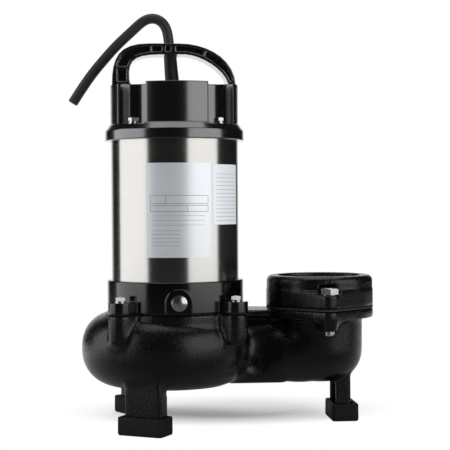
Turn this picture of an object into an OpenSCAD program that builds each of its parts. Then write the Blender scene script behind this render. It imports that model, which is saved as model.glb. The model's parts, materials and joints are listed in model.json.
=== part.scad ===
// Submersible sump pump: a stainless motor housing over a cast scroll casing, with a
// threaded three-inch discharge flange turned upwards and three legs in rubber boots.
// Every module is drawn about the motor axis and set down so that the floor is z = 0 and
// the origin lies midway between the outermost faces. +X points to the discharge.

/* [Motor housing] */
// Outside diameter of the stainless tube
shell_d = 142; // [138:0.5:144]
// Wall of the stainless tube
shell_wall = 1.6; // [1.2:0.1:2]
// Length of the stainless tube
shell_len = 170; // [165:1:190]
// Depth that the tube plugs into the ring above and below it
shell_seat = 8; // [7:0.5:9]
// Thickness of a sealing ring's section
o_ring_t = 2.1; // [1.8:0.1:2.4]

/* [Head cover] */
// Outside diameter of the cover's base ring
cover_ring_d = 155; // [152:0.5:158]
// Height of the base ring's straight band
cover_band_h = 10.5; // [10:0.5:13]
// Height of the sloping shoulder over the band
cover_shoulder_h = 7.2; // [6:0.2:9]
// Diameter of the upright part of the cover
cover_body_d = 143; // [141:0.5:146]
// Height of the cover from its lower edge to its side ledges
cover_h = 61.6; // [56:0.1:66]
// Wall of the cover
cover_wall = 4; // [3:0.25:5]
// Radius of the scoop that leaves room for a cover bolt
scoop_r = 21; // [19:0.5:22]
// Depth that a scoop is sunk into the shoulder
scoop_sink = 1; // [0.5:0.5:4]
// Distance of a cover bolt's middle inside the stainless tube's bore
stay_inset = 3.9; // [3.6:0.1:4.8]
// Diameter of a cover bolt's shank
stay_d = 5; // [4:0.5:6]

/* [Handle] */
// Height of the handle above the side ledges
handle_h = 46.1; // [42:0.1:56]
// Width of the handle from front to back
handle_depth = 30; // [24:1:34]
// Thickness of the handle's outer and inner edge
handle_rim = 3.2; // [2.5:0.1:4]
// Thickness of the web in the middle of the handle
handle_web = 4; // [3:0.5:6]
// Thickness of a rib across the handle's channel
handle_rib = 2; // [1.5:0.1:3]

/* [Power cord] */
// Diameter of the cord
cord_d = 11.5; // [10:0.5:13]
// Diameter of the rubber strain relief at its foot
relief_d = 16.8; // [15:0.2:18]
// Distance of the cord behind the motor axis
relief_y = 32; // [30:0.5:34]

/* [Oil casing] */
// Outside diameter of the oil casing's ring
oil_ring_d = 152.4; // [151:0.2:156]
// Height of the oil casing
oil_h = 34.1; // [32:0.1:40]
// Thickness of the oil casing's floor
oil_floor = 6; // [5:0.5:8]
// Radius of the circle that the lugs' bolts stand on
lug_circle_r = 88; // [86:0.5:90]
// Radius of a lug's round end
lug_r = 13; // [11:0.5:14]
// Thickness of a lug
lug_h = 12.6; // [10:0.2:15]
// Diameter of a lug bolt's shank
lug_bolt_d = 6; // [5:0.5:8]
// Width of the boss round the oil plug
plug_boss_w = 29; // [26:0.5:32]
// Distance that the boss stands out from the ring
plug_boss_out = 3.4; // [2:0.2:5]
// Diameter of the oil plug's head
plug_head_d = 17; // [15:0.5:20]
// Diameter of the oil plug's thread
plug_d = 12; // [10:0.5:13]

/* [Scroll casing] */
// Height of the casing's underside above the floor
ground_clearance = 45; // [38:1:55]
// Height of the casing from its underside to its top face
casing_h = 83.4; // [80:0.2:90]
// Wall of the casting
casing_wall = 8; // [7:0.5:9]
// Reach of the scroll to the right of the motor axis, where it starts
scroll_right = 80; // [78.5:0.5:83]
// Reach of the scroll in front of the motor axis
scroll_front = 88; // [86:0.5:91]
// Reach of the scroll to the left of the motor axis
scroll_left = 105; // [102:0.5:108]
// Reach of the scroll behind the motor axis
scroll_back = 122; // [118:0.5:124]
// Turn of the scroll's last arc, which runs into the neck
scroll_last_turn = 55; // [45:5:65]
// Radius of the scroll's section above its widest line
scroll_upper_round = 36; // [32:0.5:37]
// Height of the scroll's widest line above its underside
scroll_waist_h = 46; // [44:0.5:48]
// Radius of the scroll's section at its lower corner
scroll_lower_round = 38; // [34:0.5:42]
// Radius of the neck's pipe
neck_r = 39; // [37:0.5:40]
// Radius of the pump chamber
chamber_r = 63; // [61.5:0.5:65]
// Radius of the suction opening
suction_r = 34; // [32:0.5:36]
// Radius of the suction cover
suction_cover_r = 50; // [49:0.5:52]

/* [Discharge] */
// Distance of the discharge from the motor axis
outlet_x = 165.9; // [160:0.5:172]
// Sideways offset of the discharge, which is also the line that the legs mirror about
outlet_y = 17.6; // [14:0.2:20]
// Outer radius of the upturned elbow
elbow_r = 48.5; // [47:0.5:51]
// Rounding at the elbow's foot
elbow_round = 36; // [30:1:40]
// Radius of the elbow's heel, which bulges towards the neck
heel_r = 44; // [42:0.5:45]
// Distance of the heel's middle from the discharge's middle
heel_back = 25; // [22:0.5:27]
// Height of the heel
heel_h = 57; // [54:0.5:60]
// Height of the discharge face above the casing's underside
outlet_face_h = 83.7; // [80:0.1:92]
// Thickness of the casing's discharge flange
outlet_flange_h = 11; // [9:0.5:13]
// Radius of the round part of the flanges
collar_r = 61; // [59:0.5:64]
// Radius of a flange ear
ear_r = 11.5; // [10:0.5:13]
// Width of the flare where an ear's boss meets the casting's flange
boss_flare_w = 38; // [34:1:42]
// Distance of a flange bolt from the discharge's middle
ear_pitch = 66; // [64:0.5:68]
// Height of the threaded flange
collar_h = 34.9; // [30:0.1:40]
// Height of the threaded flange's plate with the ears
collar_plate_h = 19.3; // [16:0.1:22]
// Depth of the spot face under a flange bolt's head
spot_depth = 3.4; // [2:0.2:5]
// Radius of the pipe thread, measured at its crest
thread_r = 43; // [41:0.5:44]
// Radius of the wide mouth over the thread
mouth_r = 47; // [46:0.5:50]
// Depth of the wide mouth
mouth_depth = 5; // [3:0.5:8]
// Thickness of the flange's gasket
flange_gasket_t = 2; // [1:0.2:3]
// Diameter of a flange bolt's shank
flange_bolt_d = 12; // [10:0.5:13]

/* [Legs and boots] */
// Distance of the two near legs from the point that the legs stand about
near_leg_r = 95.5; // [93:0.5:97]
// Distance of the leg under the discharge from the same point
far_leg_r = 177.7; // [174:0.1:182]
// Distance of that leg past the discharge's middle
far_leg_x = 23.7; // [22:0.1:25]
// Width of a leg
leg_w = 44; // [40:0.5:46]
// Depth of a leg's channel section
leg_depth = 17.5; // [16:0.5:20]
// Wall of a leg's channel section
leg_wall = 5; // [4:0.5:6]
// Wall of a rubber boot
boot_wall = 5; // [4:0.25:5.5]
// Room between a leg's outer face and its boot
boot_slack = 3.2; // [2:0.1:4]
// Height of a rubber boot
boot_h = 20; // [16:0.5:24]
// Thickness of a rubber boot's sole
boot_sole = 5; // [4:0.5:7]

/* [Motor inside] */
// Radius of the stator's bore
stator_bore_r = 38; // [36:0.5:40]
// Room for the winding's end between the lower bearing's hub and the stator's stack
lower_winding_room = 20; // [19:0.5:24]
// Room for the winding's end between the stator's stack and the upper bracket
upper_winding_room = 26; // [20:0.5:30]
// Gap between the rotor and the stator
air_gap = 0.5; // [0.4:0.05:0.8]
// Number of stator slots
slots = 24; // [18:6:30]
// Radius of the shaft where the rotor sits on it
shaft_r = 13; // [12:0.5:14]
// Diameter of a bearing's ball
ball_d = 7; // [6.5:0.1:7.5]

/* [Impeller] */
// Outside radius of the impeller
impeller_r = 57; // [52:0.5:59]
// Height of the impeller's vanes
vane_h = 23; // [18:0.5:28]
// Thickness of a vane
vane_t = 4; // [3:0.5:5]
// Number of vanes
vanes = 6; // [4:1:8]

/* [Hidden] */
$fn = 72;

gloss_black = [0.06, 0.06, 0.07];
cast_black = [0.10, 0.10, 0.10];
boot_black = [0.14, 0.14, 0.13];
stainless = [0.74, 0.72, 0.68];
bolt_steel = [0.78, 0.77, 0.74];
dark_rubber = [0.09, 0.09, 0.10];
lamination = [0.45, 0.46, 0.48];
copper = [0.72, 0.36, 0.18];
aluminium_grey = [0.66, 0.67, 0.68];
ceramic = [0.85, 0.83, 0.78];
impeller_grey = [0.30, 0.31, 0.32];
bronze = [0.62, 0.47, 0.25];

seat_gap = 0.1;      // between fixed pieces that seat in each other
turn_gap = 0.15;     // between a turning piece and a fixed one
cut = 1;             // overshoot of a cut past a face
sink = 2;            // overlap of parts of one piece
tangent_ease = 0.25; // distance that a straight side starts inside a circle it runs off

// Heights, from the floor up
casing_top = ground_clearance + casing_h;
gasket_t = 1;
oil_z = casing_top + gasket_t;
oil_top = oil_z + oil_h;
shell_z = oil_top - shell_seat;
shell_top = shell_z + shell_len;
cover_z = shell_top - shell_seat;
band_top = cover_z + cover_band_h;
shoulder_top = band_top + cover_shoulder_h;
scoop_floor = shoulder_top - scoop_sink;
ledge_z = cover_z + cover_h;
outlet_face = ground_clearance + outlet_face_h;
collar_z = outlet_face + flange_gasket_t;

// Radii about the motor axis
shell_r = shell_d / 2;
bore_r = shell_r - shell_wall;
seat_r = shell_r + seat_gap;
spigot_r = bore_r - seat_gap;
stay_circle_r = bore_r - stay_inset;
ring_r = oil_ring_d / 2;
cover_ring_r = cover_ring_d / 2;
cover_body_r = cover_body_d / 2;
corners = [45, 135, 225, 315];

// The model's middle, from its outermost faces
left_face = -scroll_left;
right_face = outlet_x + collar_r;
origin_x = (left_face + right_face) / 2;
origin_y = outlet_y;

// Ball bearings: each is [bore radius, outer radius, width, height of its middle]
lower_bearing = [10, 23.5, 14, shell_z + 28];
upper_bearing = [8.5, 20, 12, shell_top - 16];
bearing_lip = 2;
flange_h = 8;
lower_hub_r = 31;
lower_hub_top = lower_bearing[3] + lower_bearing[2] / 2 + bearing_lip;
bracket_rim_r = stay_circle_r - stay_d / 2 - 2;
bracket_foot_r = stay_circle_r - stay_d / 2 - 1;
bracket_wall = 6;
upper_bearing_low = upper_bearing[3] - upper_bearing[2] / 2;
upper_hub_r = upper_bearing[1] + 6;
web_top = upper_bearing_low + 7;
fitting_x = (bracket_rim_r + upper_hub_r) / 2;
circlip_z = lower_bearing[3] - lower_bearing[2] / 2 - 1.5;

// Oil chamber and shaft seal
oil_wall_r = seat_r - 5.1;
oil_floor_z = oil_z - 6;
oil_inner_z = oil_floor_z + oil_floor + 2;
seal_hub_r = 21;
seat_recess_r = 15;
seat_h = 6;
seat_r_in = 10.5;
ring_h = 5;
seal_low = oil_z + 4;
seal_top = lower_bearing[3] - lower_bearing[2] / 2 - bearing_lip - seat_h;
lip_seal_h = 6;
stay_boss_r = 7;
stay_thread = 14;
plug_z = oil_z + 12.2;
notch_w = 6;
notch_h = 3.6;

// Shaft and impeller, down from the oil casing's floor
shoulder_r = lower_bearing[0];
lip_shaft_r = 9;
impeller_shaft_r = 8;
nut_r = 6;
impeller_top = oil_floor_z - 5.5;
shaft_low = impeller_top - 46;
key_w = 5;
key_sunk = 3;
spigot_bore_r = chamber_r + 0.5;
capacitor_r = 13;

// ---------------------------------------------------------------- shared shapes

// One piece in its colour, moved from the motor axis to the model's own origin
module piece(finish) {
    color(finish) translate([-origin_x, -origin_y, 0]) children();
}

module tube(r_out, r_in, h) {
    difference() {
        cylinder(r = r_out, h = h);
        translate([0, 0, -cut]) cylinder(r = r_in, h = h + 2 * cut);
    }
}

module at_corners(r) {
    for (a = corners) rotate(a) translate([r, 0, 0]) children();
}

// A closed solid through rings of points that all have the same count
module loft(rings) {
    n = len(rings[0]);
    m = len(rings);
    walls = [
        for (i = [0:m - 2], j = [0:n - 1])
            let (k = (j + 1) % n, a = i * n + j, b = i * n + k, c = (i + 1) * n + k, d = (i + 1) * n + j)
                each [[a, b, c], [a, c, d]]
    ];
    start_cap = [[for (j = [n - 1:-1:0]) j]];
    end_cap = [[for (j = [0:n - 1]) (m - 1) * n + j]];
    polyhedron(points = [for (ring = rings) each ring], faces = concat(walls, start_cap, end_cap));
}

// A hexagon head with its shank below it, the head's underside at z = 0
module hex_bolt(head_across, head_h, shank_d, shank_len) {
    cylinder(d = head_across * 2 / sqrt(3), h = head_h, $fn = 6);
    translate([0, 0, -shank_len]) cylinder(d = shank_d, h = shank_len + head_h / 2);
}

// The outline of a ring with a lug at each corner
module lug_outline() {
    circle(r = ring_r);
    at_corners(0) {
        translate([0, -lug_r]) square([lug_circle_r, 2 * lug_r]);
        translate([lug_circle_r, 0]) circle(r = lug_r);
    }
}

// A round flange drawn out to an ear at the front and the back by straight sides, which
// start just inside the tangent points so that they cross the circles cleanly
module eared_outline() {
    lean = acos((collar_r - ear_r) / ear_pitch);
    wide = (collar_r - tangent_ease) * [sin(lean), cos(lean)];
    tip = [0, ear_pitch] + (ear_r - tangent_ease) * [sin(lean), cos(lean)];
    circle(r = collar_r);
    for (end = [-1, 1]) translate([0, end * ear_pitch]) circle(r = ear_r);
    polygon([
        [wide[0], -wide[1]], [wide[0], wide[1]], tip, [-tip[0], tip[1]],
        [-wide[0], wide[1]], [-wide[0], -wide[1]], [-tip[0], -tip[1]], [tip[0], -tip[1]]
    ]);
}

module at_outlet(z) {
    translate([outlet_x, outlet_y, z]) children();
}

module at_ears() {
    for (end = [-1, 1]) translate([0, end * ear_pitch, 0]) children();
}

// A cup turned about its axis, with a rounded foot and its underside at z = 0
module round_foot_cup(r, h, round) {
    rotate_extrude() {
        translate([0, round]) square([r, h - round]);
        square([r - round, round + sink]);
        intersection() {
            translate([r - round, round]) circle(r = round);
            square([r, h]);
        }
    }
}

// ---------------------------------------------------------------- scroll casing

scroll_waist = ground_clearance + scroll_waist_h;
scroll_width = 72;

// The scroll is drawn from four arcs. Each new centre lies on the line through the end of
// the arc before, so that the arcs run into each other and the reach grows all the way.
first_step = 0.44 * (scroll_left - scroll_right);
arc_1_r = (scroll_left + scroll_right - first_step) / 2;
second_step = scroll_front + scroll_back - 2 * arc_1_r - 2 * first_step;
third_step = 16;
arc_1 = [scroll_right - arc_1_r, arc_1_r - scroll_front];
arc_2 = arc_1 + [0, first_step];
arc_3 = arc_2 + [second_step, 0];
arc_4 = arc_3 - [0, third_step];
scroll_arcs = [
    // [centre, radius, direction where the arc starts, turn clockwise]
    [arc_1, arc_1_r, 0, 90],
    [arc_2, arc_1_r + first_step, -90, 90],
    [arc_3, arc_1_r + first_step + second_step, -180, 90],
    [arc_4, arc_1_r + first_step + second_step + third_step, -270, scroll_last_turn]
];

// An upright section of the scroll: flat over its middle, round at its back
module scroll_section(reach, inset) {
    r_out = reach - inset;
    r_in = reach - scroll_width;
    upper = scroll_upper_round - inset;
    lower = scroll_lower_round - inset;
    floor_z = ground_clearance + inset;
    lower_z = floor_z + lower;
    translate([r_in, scroll_waist]) square([r_out - upper - r_in, upper]);
    translate([r_in, lower_z]) square([r_out - r_in, scroll_waist - lower_z]);
    translate([r_in, floor_z]) square([r_out - lower - r_in, lower]);
    intersection() {
        translate([r_out - upper, scroll_waist]) circle(r = upper);
        translate([r_out - upper - cut, scroll_waist]) square([upper + 2 * cut, upper + cut]);
    }
    intersection() {
        translate([r_out - lower, lower_z]) circle(r = lower);
        translate([r_out - lower - cut, floor_z - cut]) square([lower + 2 * cut, lower + cut]);
    }
}

module scroll(inset) {
    for (arc = scroll_arcs) translate([arc[0][0], arc[0][1], 0]) rotate(arc[2]) mirror([0, 1, 0])
        rotate_extrude(angle = arc[3]) scroll_section(arc[1], inset);
}

// The neck is a level pipe from the scroll's end to the elbow
neck_start = [48, 44];
neck_end = [outlet_x, outlet_y + 6.4];
neck_z = ground_clearance + neck_r + 2.6;

module neck(inset) {
    run = neck_end - neck_start;
    translate([neck_start[0], neck_start[1], neck_z]) rotate(atan2(run[1], run[0])) rotate([0, 90, 0])
        cylinder(r = neck_r - inset, h = norm(run));
}

// The passage: chamber, scroll channel, neck and elbow, all one wall inside the casting
chamber_top = casing_top - 5;
elbow_bore_r = elbow_r - casing_wall;

module water_passage() {
    translate([0, 0, ground_clearance + casing_wall]) cylinder(r = chamber_r, h = casing_h);
    scroll(casing_wall);
    neck(casing_wall);
    at_outlet(ground_clearance + casing_wall)
        round_foot_cup(elbow_bore_r, outlet_face_h, elbow_round - casing_wall);
}

// The elbow's heel: a low round body with a wide lower and a smaller upper rounding
heel_foot_round = 30;
heel_top_round = 24;
heel_shift = 3.6;

module heel() {
    middle = heel_h - heel_top_round;
    translate([outlet_x - heel_back, outlet_y - heel_shift, ground_clearance]) rotate_extrude() {
        translate([0, heel_foot_round]) square([heel_r, middle - heel_foot_round]);
        square([heel_r - heel_foot_round, heel_foot_round + sink]);
        translate([0, middle - sink]) square([heel_r - heel_top_round, heel_top_round + sink]);
        intersection() {
            translate([heel_r - heel_foot_round, heel_foot_round]) circle(r = heel_foot_round);
            square([heel_r, middle]);
        }
        intersection() {
            translate([heel_r - heel_top_round, middle]) circle(r = heel_top_round);
            translate([0, heel_foot_round]) square([heel_r, heel_h]);
        }
    }
}

// A low keel carries the belly on from the scroll to the heel
keel_r = 10;
keel_x = [60, 122];
keel_y = [-4, 26];

module keel() {
    translate([keel_x[0], 0, ground_clearance]) rotate([90, 0, 90]) linear_extrude(keel_x[1] - keel_x[0]) {
        translate([keel_y[0], keel_r]) circle(r = keel_r);
        translate([keel_y[0], 0]) square([keel_y[1] - keel_y[0], 2 * keel_r]);
    }
}

// The floor under the pump chamber, whose bevel fades into the scroll's belly
floor_ring_r = chamber_r + casing_wall - 0.5;
floor_foot_r = suction_cover_r + 3;
floor_bevel_h = 6.5;
floor_ring_h = 14;

module floor_ring() {
    translate([0, 0, ground_clearance]) cylinder(r1 = floor_foot_r, r2 = floor_ring_r, h = floor_bevel_h);
    translate([0, 0, ground_clearance + floor_bevel_h]) cylinder(r = floor_ring_r, h = floor_ring_h - floor_bevel_h);
}

boss_drop = 33;
outlet_boss_drop = 24;
boss_flare_drop = 17;

module lug_bosses() {
    translate([0, 0, casing_top - boss_drop]) linear_extrude(boss_drop) intersection() {
        lug_outline();
        at_corners(0) translate([40, -lug_r]) square([lug_circle_r, 2 * lug_r]);
    }
}

module outlet_bosses() {
    low = -outlet_boss_drop;
    half = ear_r - 1;
    flare = boss_flare_w / 2;
    at_outlet(outlet_face + low) at_ears() cylinder(r1 = ear_r - 2, r2 = ear_r, h = outlet_boss_drop);
    at_outlet(outlet_face) for (turn = [0, 180]) rotate(turn)
        translate([0, elbow_r - casing_wall, 0]) rotate([-90, 0, 0]) mirror([0, 1, 0])
            linear_extrude(ear_pitch - elbow_r + casing_wall - 1) polygon([
                [-half + 3, low + 1], [half - 3, low + 1], [half, low + 5], [half + 1.5, -boss_flare_drop + 2],
                [flare, -outlet_flange_h + 0.5], [flare, -2], [-flare, -2], [-flare, -outlet_flange_h + 0.5],
                [-half - 1.5, -boss_flare_drop + 2], [-half, low + 5]
            ]);
}

// A flat web that ties the neck to the casing's top face, with a small lifting eye
web_h = 8;
eye_r = 6;

module neck_web() {
    translate([0, 0, casing_top - web_h - 1.5]) linear_extrude(web_h) difference() {
        polygon([[30, 0], [ring_r + 10, 0], [outlet_x - 40, outlet_y - 20],
                 [outlet_x - 30, outlet_y + 34], [ring_r - 4, 70], [30, 60]]);
        circle(r = chamber_r + 1);
    }
}

leg_head_h = 18;
leg_top = ground_clearance + leg_head_h;
leg_foot = boot_sole + seat_gap;
legs_x = outlet_x + far_leg_x - far_leg_r;
// [direction from the point that the legs stand about, distance]
leg_places = [[-120, near_leg_r], [122, near_leg_r], [0, far_leg_r]];

module at_leg(i) {
    translate([legs_x, outlet_y, 0]) rotate(leg_places[i][0]) translate([leg_places[i][1], 0, 0]) children();
}

// A channel section that stands with its web outwards, open towards the middle
module leg_section() {
    difference() {
        translate([-leg_depth / 2, -leg_w / 2]) square([leg_depth, leg_w]);
        translate([-leg_depth / 2 - cut, -leg_w / 2 + leg_wall])
            square([leg_depth - leg_wall + cut, leg_w - 2 * leg_wall]);
    }
}

module legs() {
    for (i = [0:2]) at_leg(i) {
        translate([0, 0, leg_foot]) linear_extrude(leg_top - leg_foot) leg_section();
        translate([-leg_depth / 2, -leg_w / 2, leg_top - leg_head_h]) cube([leg_depth, leg_w, leg_head_h]);
    }
}

suction_recess_r = suction_cover_r + 0.3;
suction_plate_h = 6;
suction_spigot_r = suction_cover_r - 10;
suction_screw_r = (suction_cover_r + suction_r) / 2 + 2;
suction_screw_d = 4;
suction_screws = 6;
suction_head_across = 7;
suction_head_h = 3.2;
suction_head_sink = 3.4;

module at_suction_screws(z) {
    for (i = [0:suction_screws - 1]) rotate(i * 360 / suction_screws) translate([suction_screw_r, 0, z]) children();
}

module volute_casing() {
    piece(cast_black) difference() {
        union() {
            scroll(0);
            neck(0);
            translate([0, 0, ground_clearance + 12]) cylinder(r = ring_r, h = casing_h - 12);
            floor_ring();
            keel();
            at_outlet(ground_clearance - 0.5) round_foot_cup(elbow_r, outlet_face_h - 1, elbow_round);
            heel();
            at_outlet(outlet_face - outlet_flange_h) linear_extrude(outlet_flange_h) eared_outline();
            lug_bosses();
            outlet_bosses();
            neck_web();
            legs();
        }
        water_passage();
        translate([0, 0, ground_clearance - 2 * cut]) cylinder(r = suction_spigot_r, h = casing_wall + 4 * cut);
        translate([0, 0, ground_clearance - 2 * cut]) cylinder(r = suction_recess_r, h = suction_plate_h + 2 * cut);
        at_suction_screws(ground_clearance + suction_plate_h - cut)
            cylinder(d = suction_screw_d + 2 * seat_gap, h = casing_wall);
        translate([0, 0, chamber_top]) cylinder(r = spigot_bore_r, h = casing_h);
        at_corners(lug_circle_r) translate([0, 0, casing_top - 26]) cylinder(d = lug_bolt_d + 2 * seat_gap, h = 30);
        at_outlet(outlet_face - 40) at_ears() cylinder(d = flange_bolt_d + 2 * seat_gap, h = 50);
        at_outlet(outlet_face - 20) cylinder(r = elbow_bore_r, h = 30);
    }
}

module suction_cover() {
    piece(cast_black) difference() {
        union() {
            translate([0, 0, ground_clearance]) cylinder(r = suction_cover_r, h = suction_plate_h);
            translate([0, 0, ground_clearance]) cylinder(r = suction_spigot_r - 0.3, h = casing_wall + 3);
        }
        translate([0, 0, ground_clearance - cut]) cylinder(r = suction_r, h = casing_wall + 10);
        translate([0, 0, ground_clearance - 0.01]) cylinder(r1 = suction_r + 3, r2 = suction_r, h = 3);
        at_suction_screws(ground_clearance - cut) {
            cylinder(d = suction_screw_d + 2 * seat_gap, h = suction_plate_h + 2 * cut);
            cylinder(d = suction_head_across * 2 / sqrt(3) + 0.6, h = suction_head_sink + cut);
        }
    }
}

module suction_cover_screws() {
    piece(bolt_steel) at_suction_screws(ground_clearance + suction_head_sink) rotate([180, 0, 0])
        hex_bolt(suction_head_across, suction_head_h, suction_screw_d, suction_plate_h - suction_head_sink + 3);
}

module casing_gasket() {
    piece(dark_rubber) translate([0, 0, casing_top]) linear_extrude(gasket_t) difference() {
        lug_outline();
        circle(r = spigot_bore_r);
        at_corners(lug_circle_r) circle(d = lug_bolt_d + 2 * seat_gap);
    }
}

// ---------------------------------------------------------------- rubber boots

module foot_boot(i) {
    pocket = [leg_depth + boot_slack + seat_gap, leg_w + 2 * seat_gap];
    piece(boot_black) at_leg(i) translate([-leg_depth / 2 - seat_gap, -pocket[1] / 2, 0]) difference() {
        translate([-boot_wall, -boot_wall, 0]) cube([pocket[0] + 2 * boot_wall, pocket[1] + 2 * boot_wall, boot_h]);
        translate([0, 0, boot_sole]) cube([pocket[0], pocket[1], boot_h]);
    }
}

module foot_boot_front() {
    foot_boot(0);
}

module foot_boot_back() {
    foot_boot(1);
}

module foot_boot_outlet() {
    foot_boot(2);
}

// ---------------------------------------------------------------- discharge flange

module flange_gasket() {
    piece(dark_rubber) at_outlet(outlet_face) linear_extrude(flange_gasket_t) difference() {
        eared_outline();
        circle(r = elbow_bore_r);
        at_ears() circle(d = flange_bolt_d + 2 * seat_gap);
    }
}

collar_round = 6;

module discharge_flange() {
    piece(cast_black) at_outlet(collar_z) difference() {
        union() {
            linear_extrude(collar_plate_h) eared_outline();
            cylinder(r = collar_r - 0.6, h = collar_h - collar_round);
            translate([0, 0, collar_h - collar_round]) rotate_extrude() {
                square([collar_r - 0.6 - collar_round, collar_round]);
                intersection() {
                    translate([collar_r - 0.6 - collar_round, 0]) circle(r = collar_round);
                    square([collar_r, collar_round]);
                }
            }
        }
        translate([0, 0, -cut]) cylinder(r = thread_r, h = collar_h + 2 * cut);
        translate([0, 0, collar_h - mouth_depth]) cylinder(r = mouth_r, h = mouth_depth + cut);
        at_ears() translate([0, 0, -cut]) cylinder(d = flange_bolt_d + 2 * seat_gap, h = collar_h + cut);
        at_ears() translate([0, 0, collar_plate_h - spot_depth]) cylinder(r = ear_r + 1, h = flange_head_h + 3);
    }
}

flange_head_across = 19;
flange_head_h = 7.5;

module flange_bolts() {
    head_z = collar_z + collar_plate_h - spot_depth;
    shank = head_z - outlet_face + outlet_boss_drop + 3;
    piece(bolt_steel) at_outlet(head_z) at_ears() hex_bolt(flange_head_across, flange_head_h, flange_bolt_d, shank);
}

// ---------------------------------------------------------------- oil casing

module plug_boss() {
    rotate([90, 0, 0]) linear_extrude(ring_r + plug_boss_out) {
        translate([-plug_boss_w / 2, oil_z]) square([plug_boss_w, plug_z - oil_z]);
        intersection() {
            translate([0, plug_z]) circle(d = plug_boss_w);
            translate([-plug_boss_w, plug_z - 0.01]) square([2 * plug_boss_w, plug_boss_w]);
        }
    }
}

module oil_casing() {
    piece(gloss_black) difference() {
        union() {
            translate([0, 0, oil_z]) cylinder(r = ring_r, h = oil_h - 1.2);
            translate([0, 0, oil_top - 1.2]) cylinder(r1 = ring_r, r2 = ring_r - 1, h = 1.2);
            translate([0, 0, oil_z]) linear_extrude(lug_h) lug_outline();
            plug_boss();
            translate([0, 0, oil_floor_z]) cylinder(r = chamber_r, h = 10);
        }
        difference() {
            translate([0, 0, oil_inner_z]) cylinder(r = oil_wall_r, h = oil_h);
            at_corners(stay_circle_r) translate([0, 0, oil_z]) cylinder(r = stay_boss_r, h = shell_z - oil_z);
            translate([0, 0, oil_z]) cylinder(r = seal_hub_r, h = seal_low + 6 - oil_z);
        }
        translate([0, 0, shell_z]) cylinder(r = seat_r, h = oil_h);
        translate([0, 0, shell_z + shell_seat / 2 - o_ring_t / 2 - 0.1]) cylinder(r = seat_r + o_ring_t, h = o_ring_t + 0.2);
        translate([0, 0, oil_floor_z - cut]) cylinder(r = lip_shaft_r + 0.5, h = oil_h);
        translate([0, 0, seal_low]) cylinder(r = seat_recess_r, h = oil_h);
        translate([0, 0, oil_floor_z - cut]) cylinder(r = seat_recess_r + 1, h = lip_seal_h + cut);
        at_corners(stay_circle_r) translate([0, 0, shell_z - stay_thread]) cylinder(d = stay_d + 2 * seat_gap, h = stay_thread + cut);
        at_corners(lug_circle_r) translate([0, 0, oil_z - cut]) cylinder(d = lug_bolt_d + 2 * seat_gap, h = lug_h + 2 * cut);
        translate([0, 0, plug_z]) rotate([90, 0, 0]) cylinder(d = plug_d + 2 * seat_gap, h = ring_r + 10);
        for (side = [-50, -130]) rotate(side) translate([ring_r - 3, -notch_w / 2, oil_z + lug_h + 1.4])
            cube([10, notch_w, notch_h]);
    }
}

lug_head_across = 10;
lug_head_h = 4.5;
washer_t = 1.4;

module casing_bolts() {
    head_z = oil_z + lug_h + washer_t;
    piece(bolt_steel) at_corners(lug_circle_r) translate([0, 0, head_z])
        hex_bolt(lug_head_across, lug_head_h, lug_bolt_d, head_z - casing_top + 22);
}

module casing_bolt_washers() {
    piece(bolt_steel) at_corners(lug_circle_r) translate([0, 0, oil_z + lug_h])
        tube(lug_head_across * 0.58, lug_bolt_d / 2 + seat_gap, washer_t);
}

plug_washer_t = 1.2;
plug_face_y = -(ring_r + plug_boss_out);

module oil_plug() {
    head_h = plug_head_d * 0.26;
    piece(bolt_steel) translate([0, plug_face_y - plug_washer_t, plug_z]) rotate([90, 0, 0]) difference() {
        union() {
            intersection() {
                cylinder(d = plug_head_d, h = head_h);
                translate([0, 0, head_h - plug_head_d]) sphere(r = plug_head_d);
            }
            translate([0, 0, -14]) cylinder(d = plug_d, h = 15);
        }
        for (a = [0, 90]) rotate(a) translate([-3.5, -0.7, head_h - 2.4]) cube([7, 1.4, 5]);
    }
}

module oil_plug_washer() {
    piece(dark_rubber) translate([0, plug_face_y, plug_z]) rotate([90, 0, 0])
        tube(plug_head_d / 2 + 0.6, plug_d / 2 + seat_gap, plug_washer_t);
}

// ---------------------------------------------------------------- motor housing

module motor_shell() {
    piece(stainless) translate([0, 0, shell_z]) tube(shell_r, bore_r, shell_len);
}

module o_ring(z) {
    piece(dark_rubber) translate([0, 0, z]) rotate_extrude() translate([seat_r + o_ring_t / 2, 0]) circle(d = o_ring_t - 0.1);
}

module lower_o_ring() {
    o_ring(shell_z + shell_seat / 2);
}

module upper_o_ring() {
    o_ring(shell_top - shell_seat / 2);
}

module lower_bearing_bracket() {
    low = lower_bearing[3] - lower_bearing[2] / 2;
    piece(aluminium_grey) difference() {
        union() {
            translate([0, 0, shell_z]) cylinder(r = spigot_r, h = flange_h);
            translate([0, 0, shell_z]) cylinder(r1 = bracket_foot_r, r2 = lower_hub_r, h = seal_top + 6 - shell_z);
            translate([0, 0, seal_top]) cylinder(r = lower_hub_r, h = lower_hub_top - seal_top);
        }
        difference() {
            translate([0, 0, shell_z - cut]) cylinder(r1 = bracket_foot_r - bracket_wall, r2 = seal_hub_r - 1, h = seal_top - shell_z - 1);
            translate([0, 0, seal_top - 3]) cylinder(r = 19, h = 10);
        }
        translate([0, 0, low]) cylinder(r = lower_bearing[1] + seat_gap / 2, h = 30);
        translate([0, 0, seal_top - 4]) cylinder(r = seat_recess_r, h = seat_h + 4);
        translate([0, 0, seal_top - 4]) cylinder(r = shoulder_r + turn_gap + 0.1, h = 30);
        at_corners(stay_circle_r) translate([0, 0, shell_z - cut]) cylinder(d = stay_d + 0.6, h = flange_h + 2 * cut);
    }
}

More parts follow.
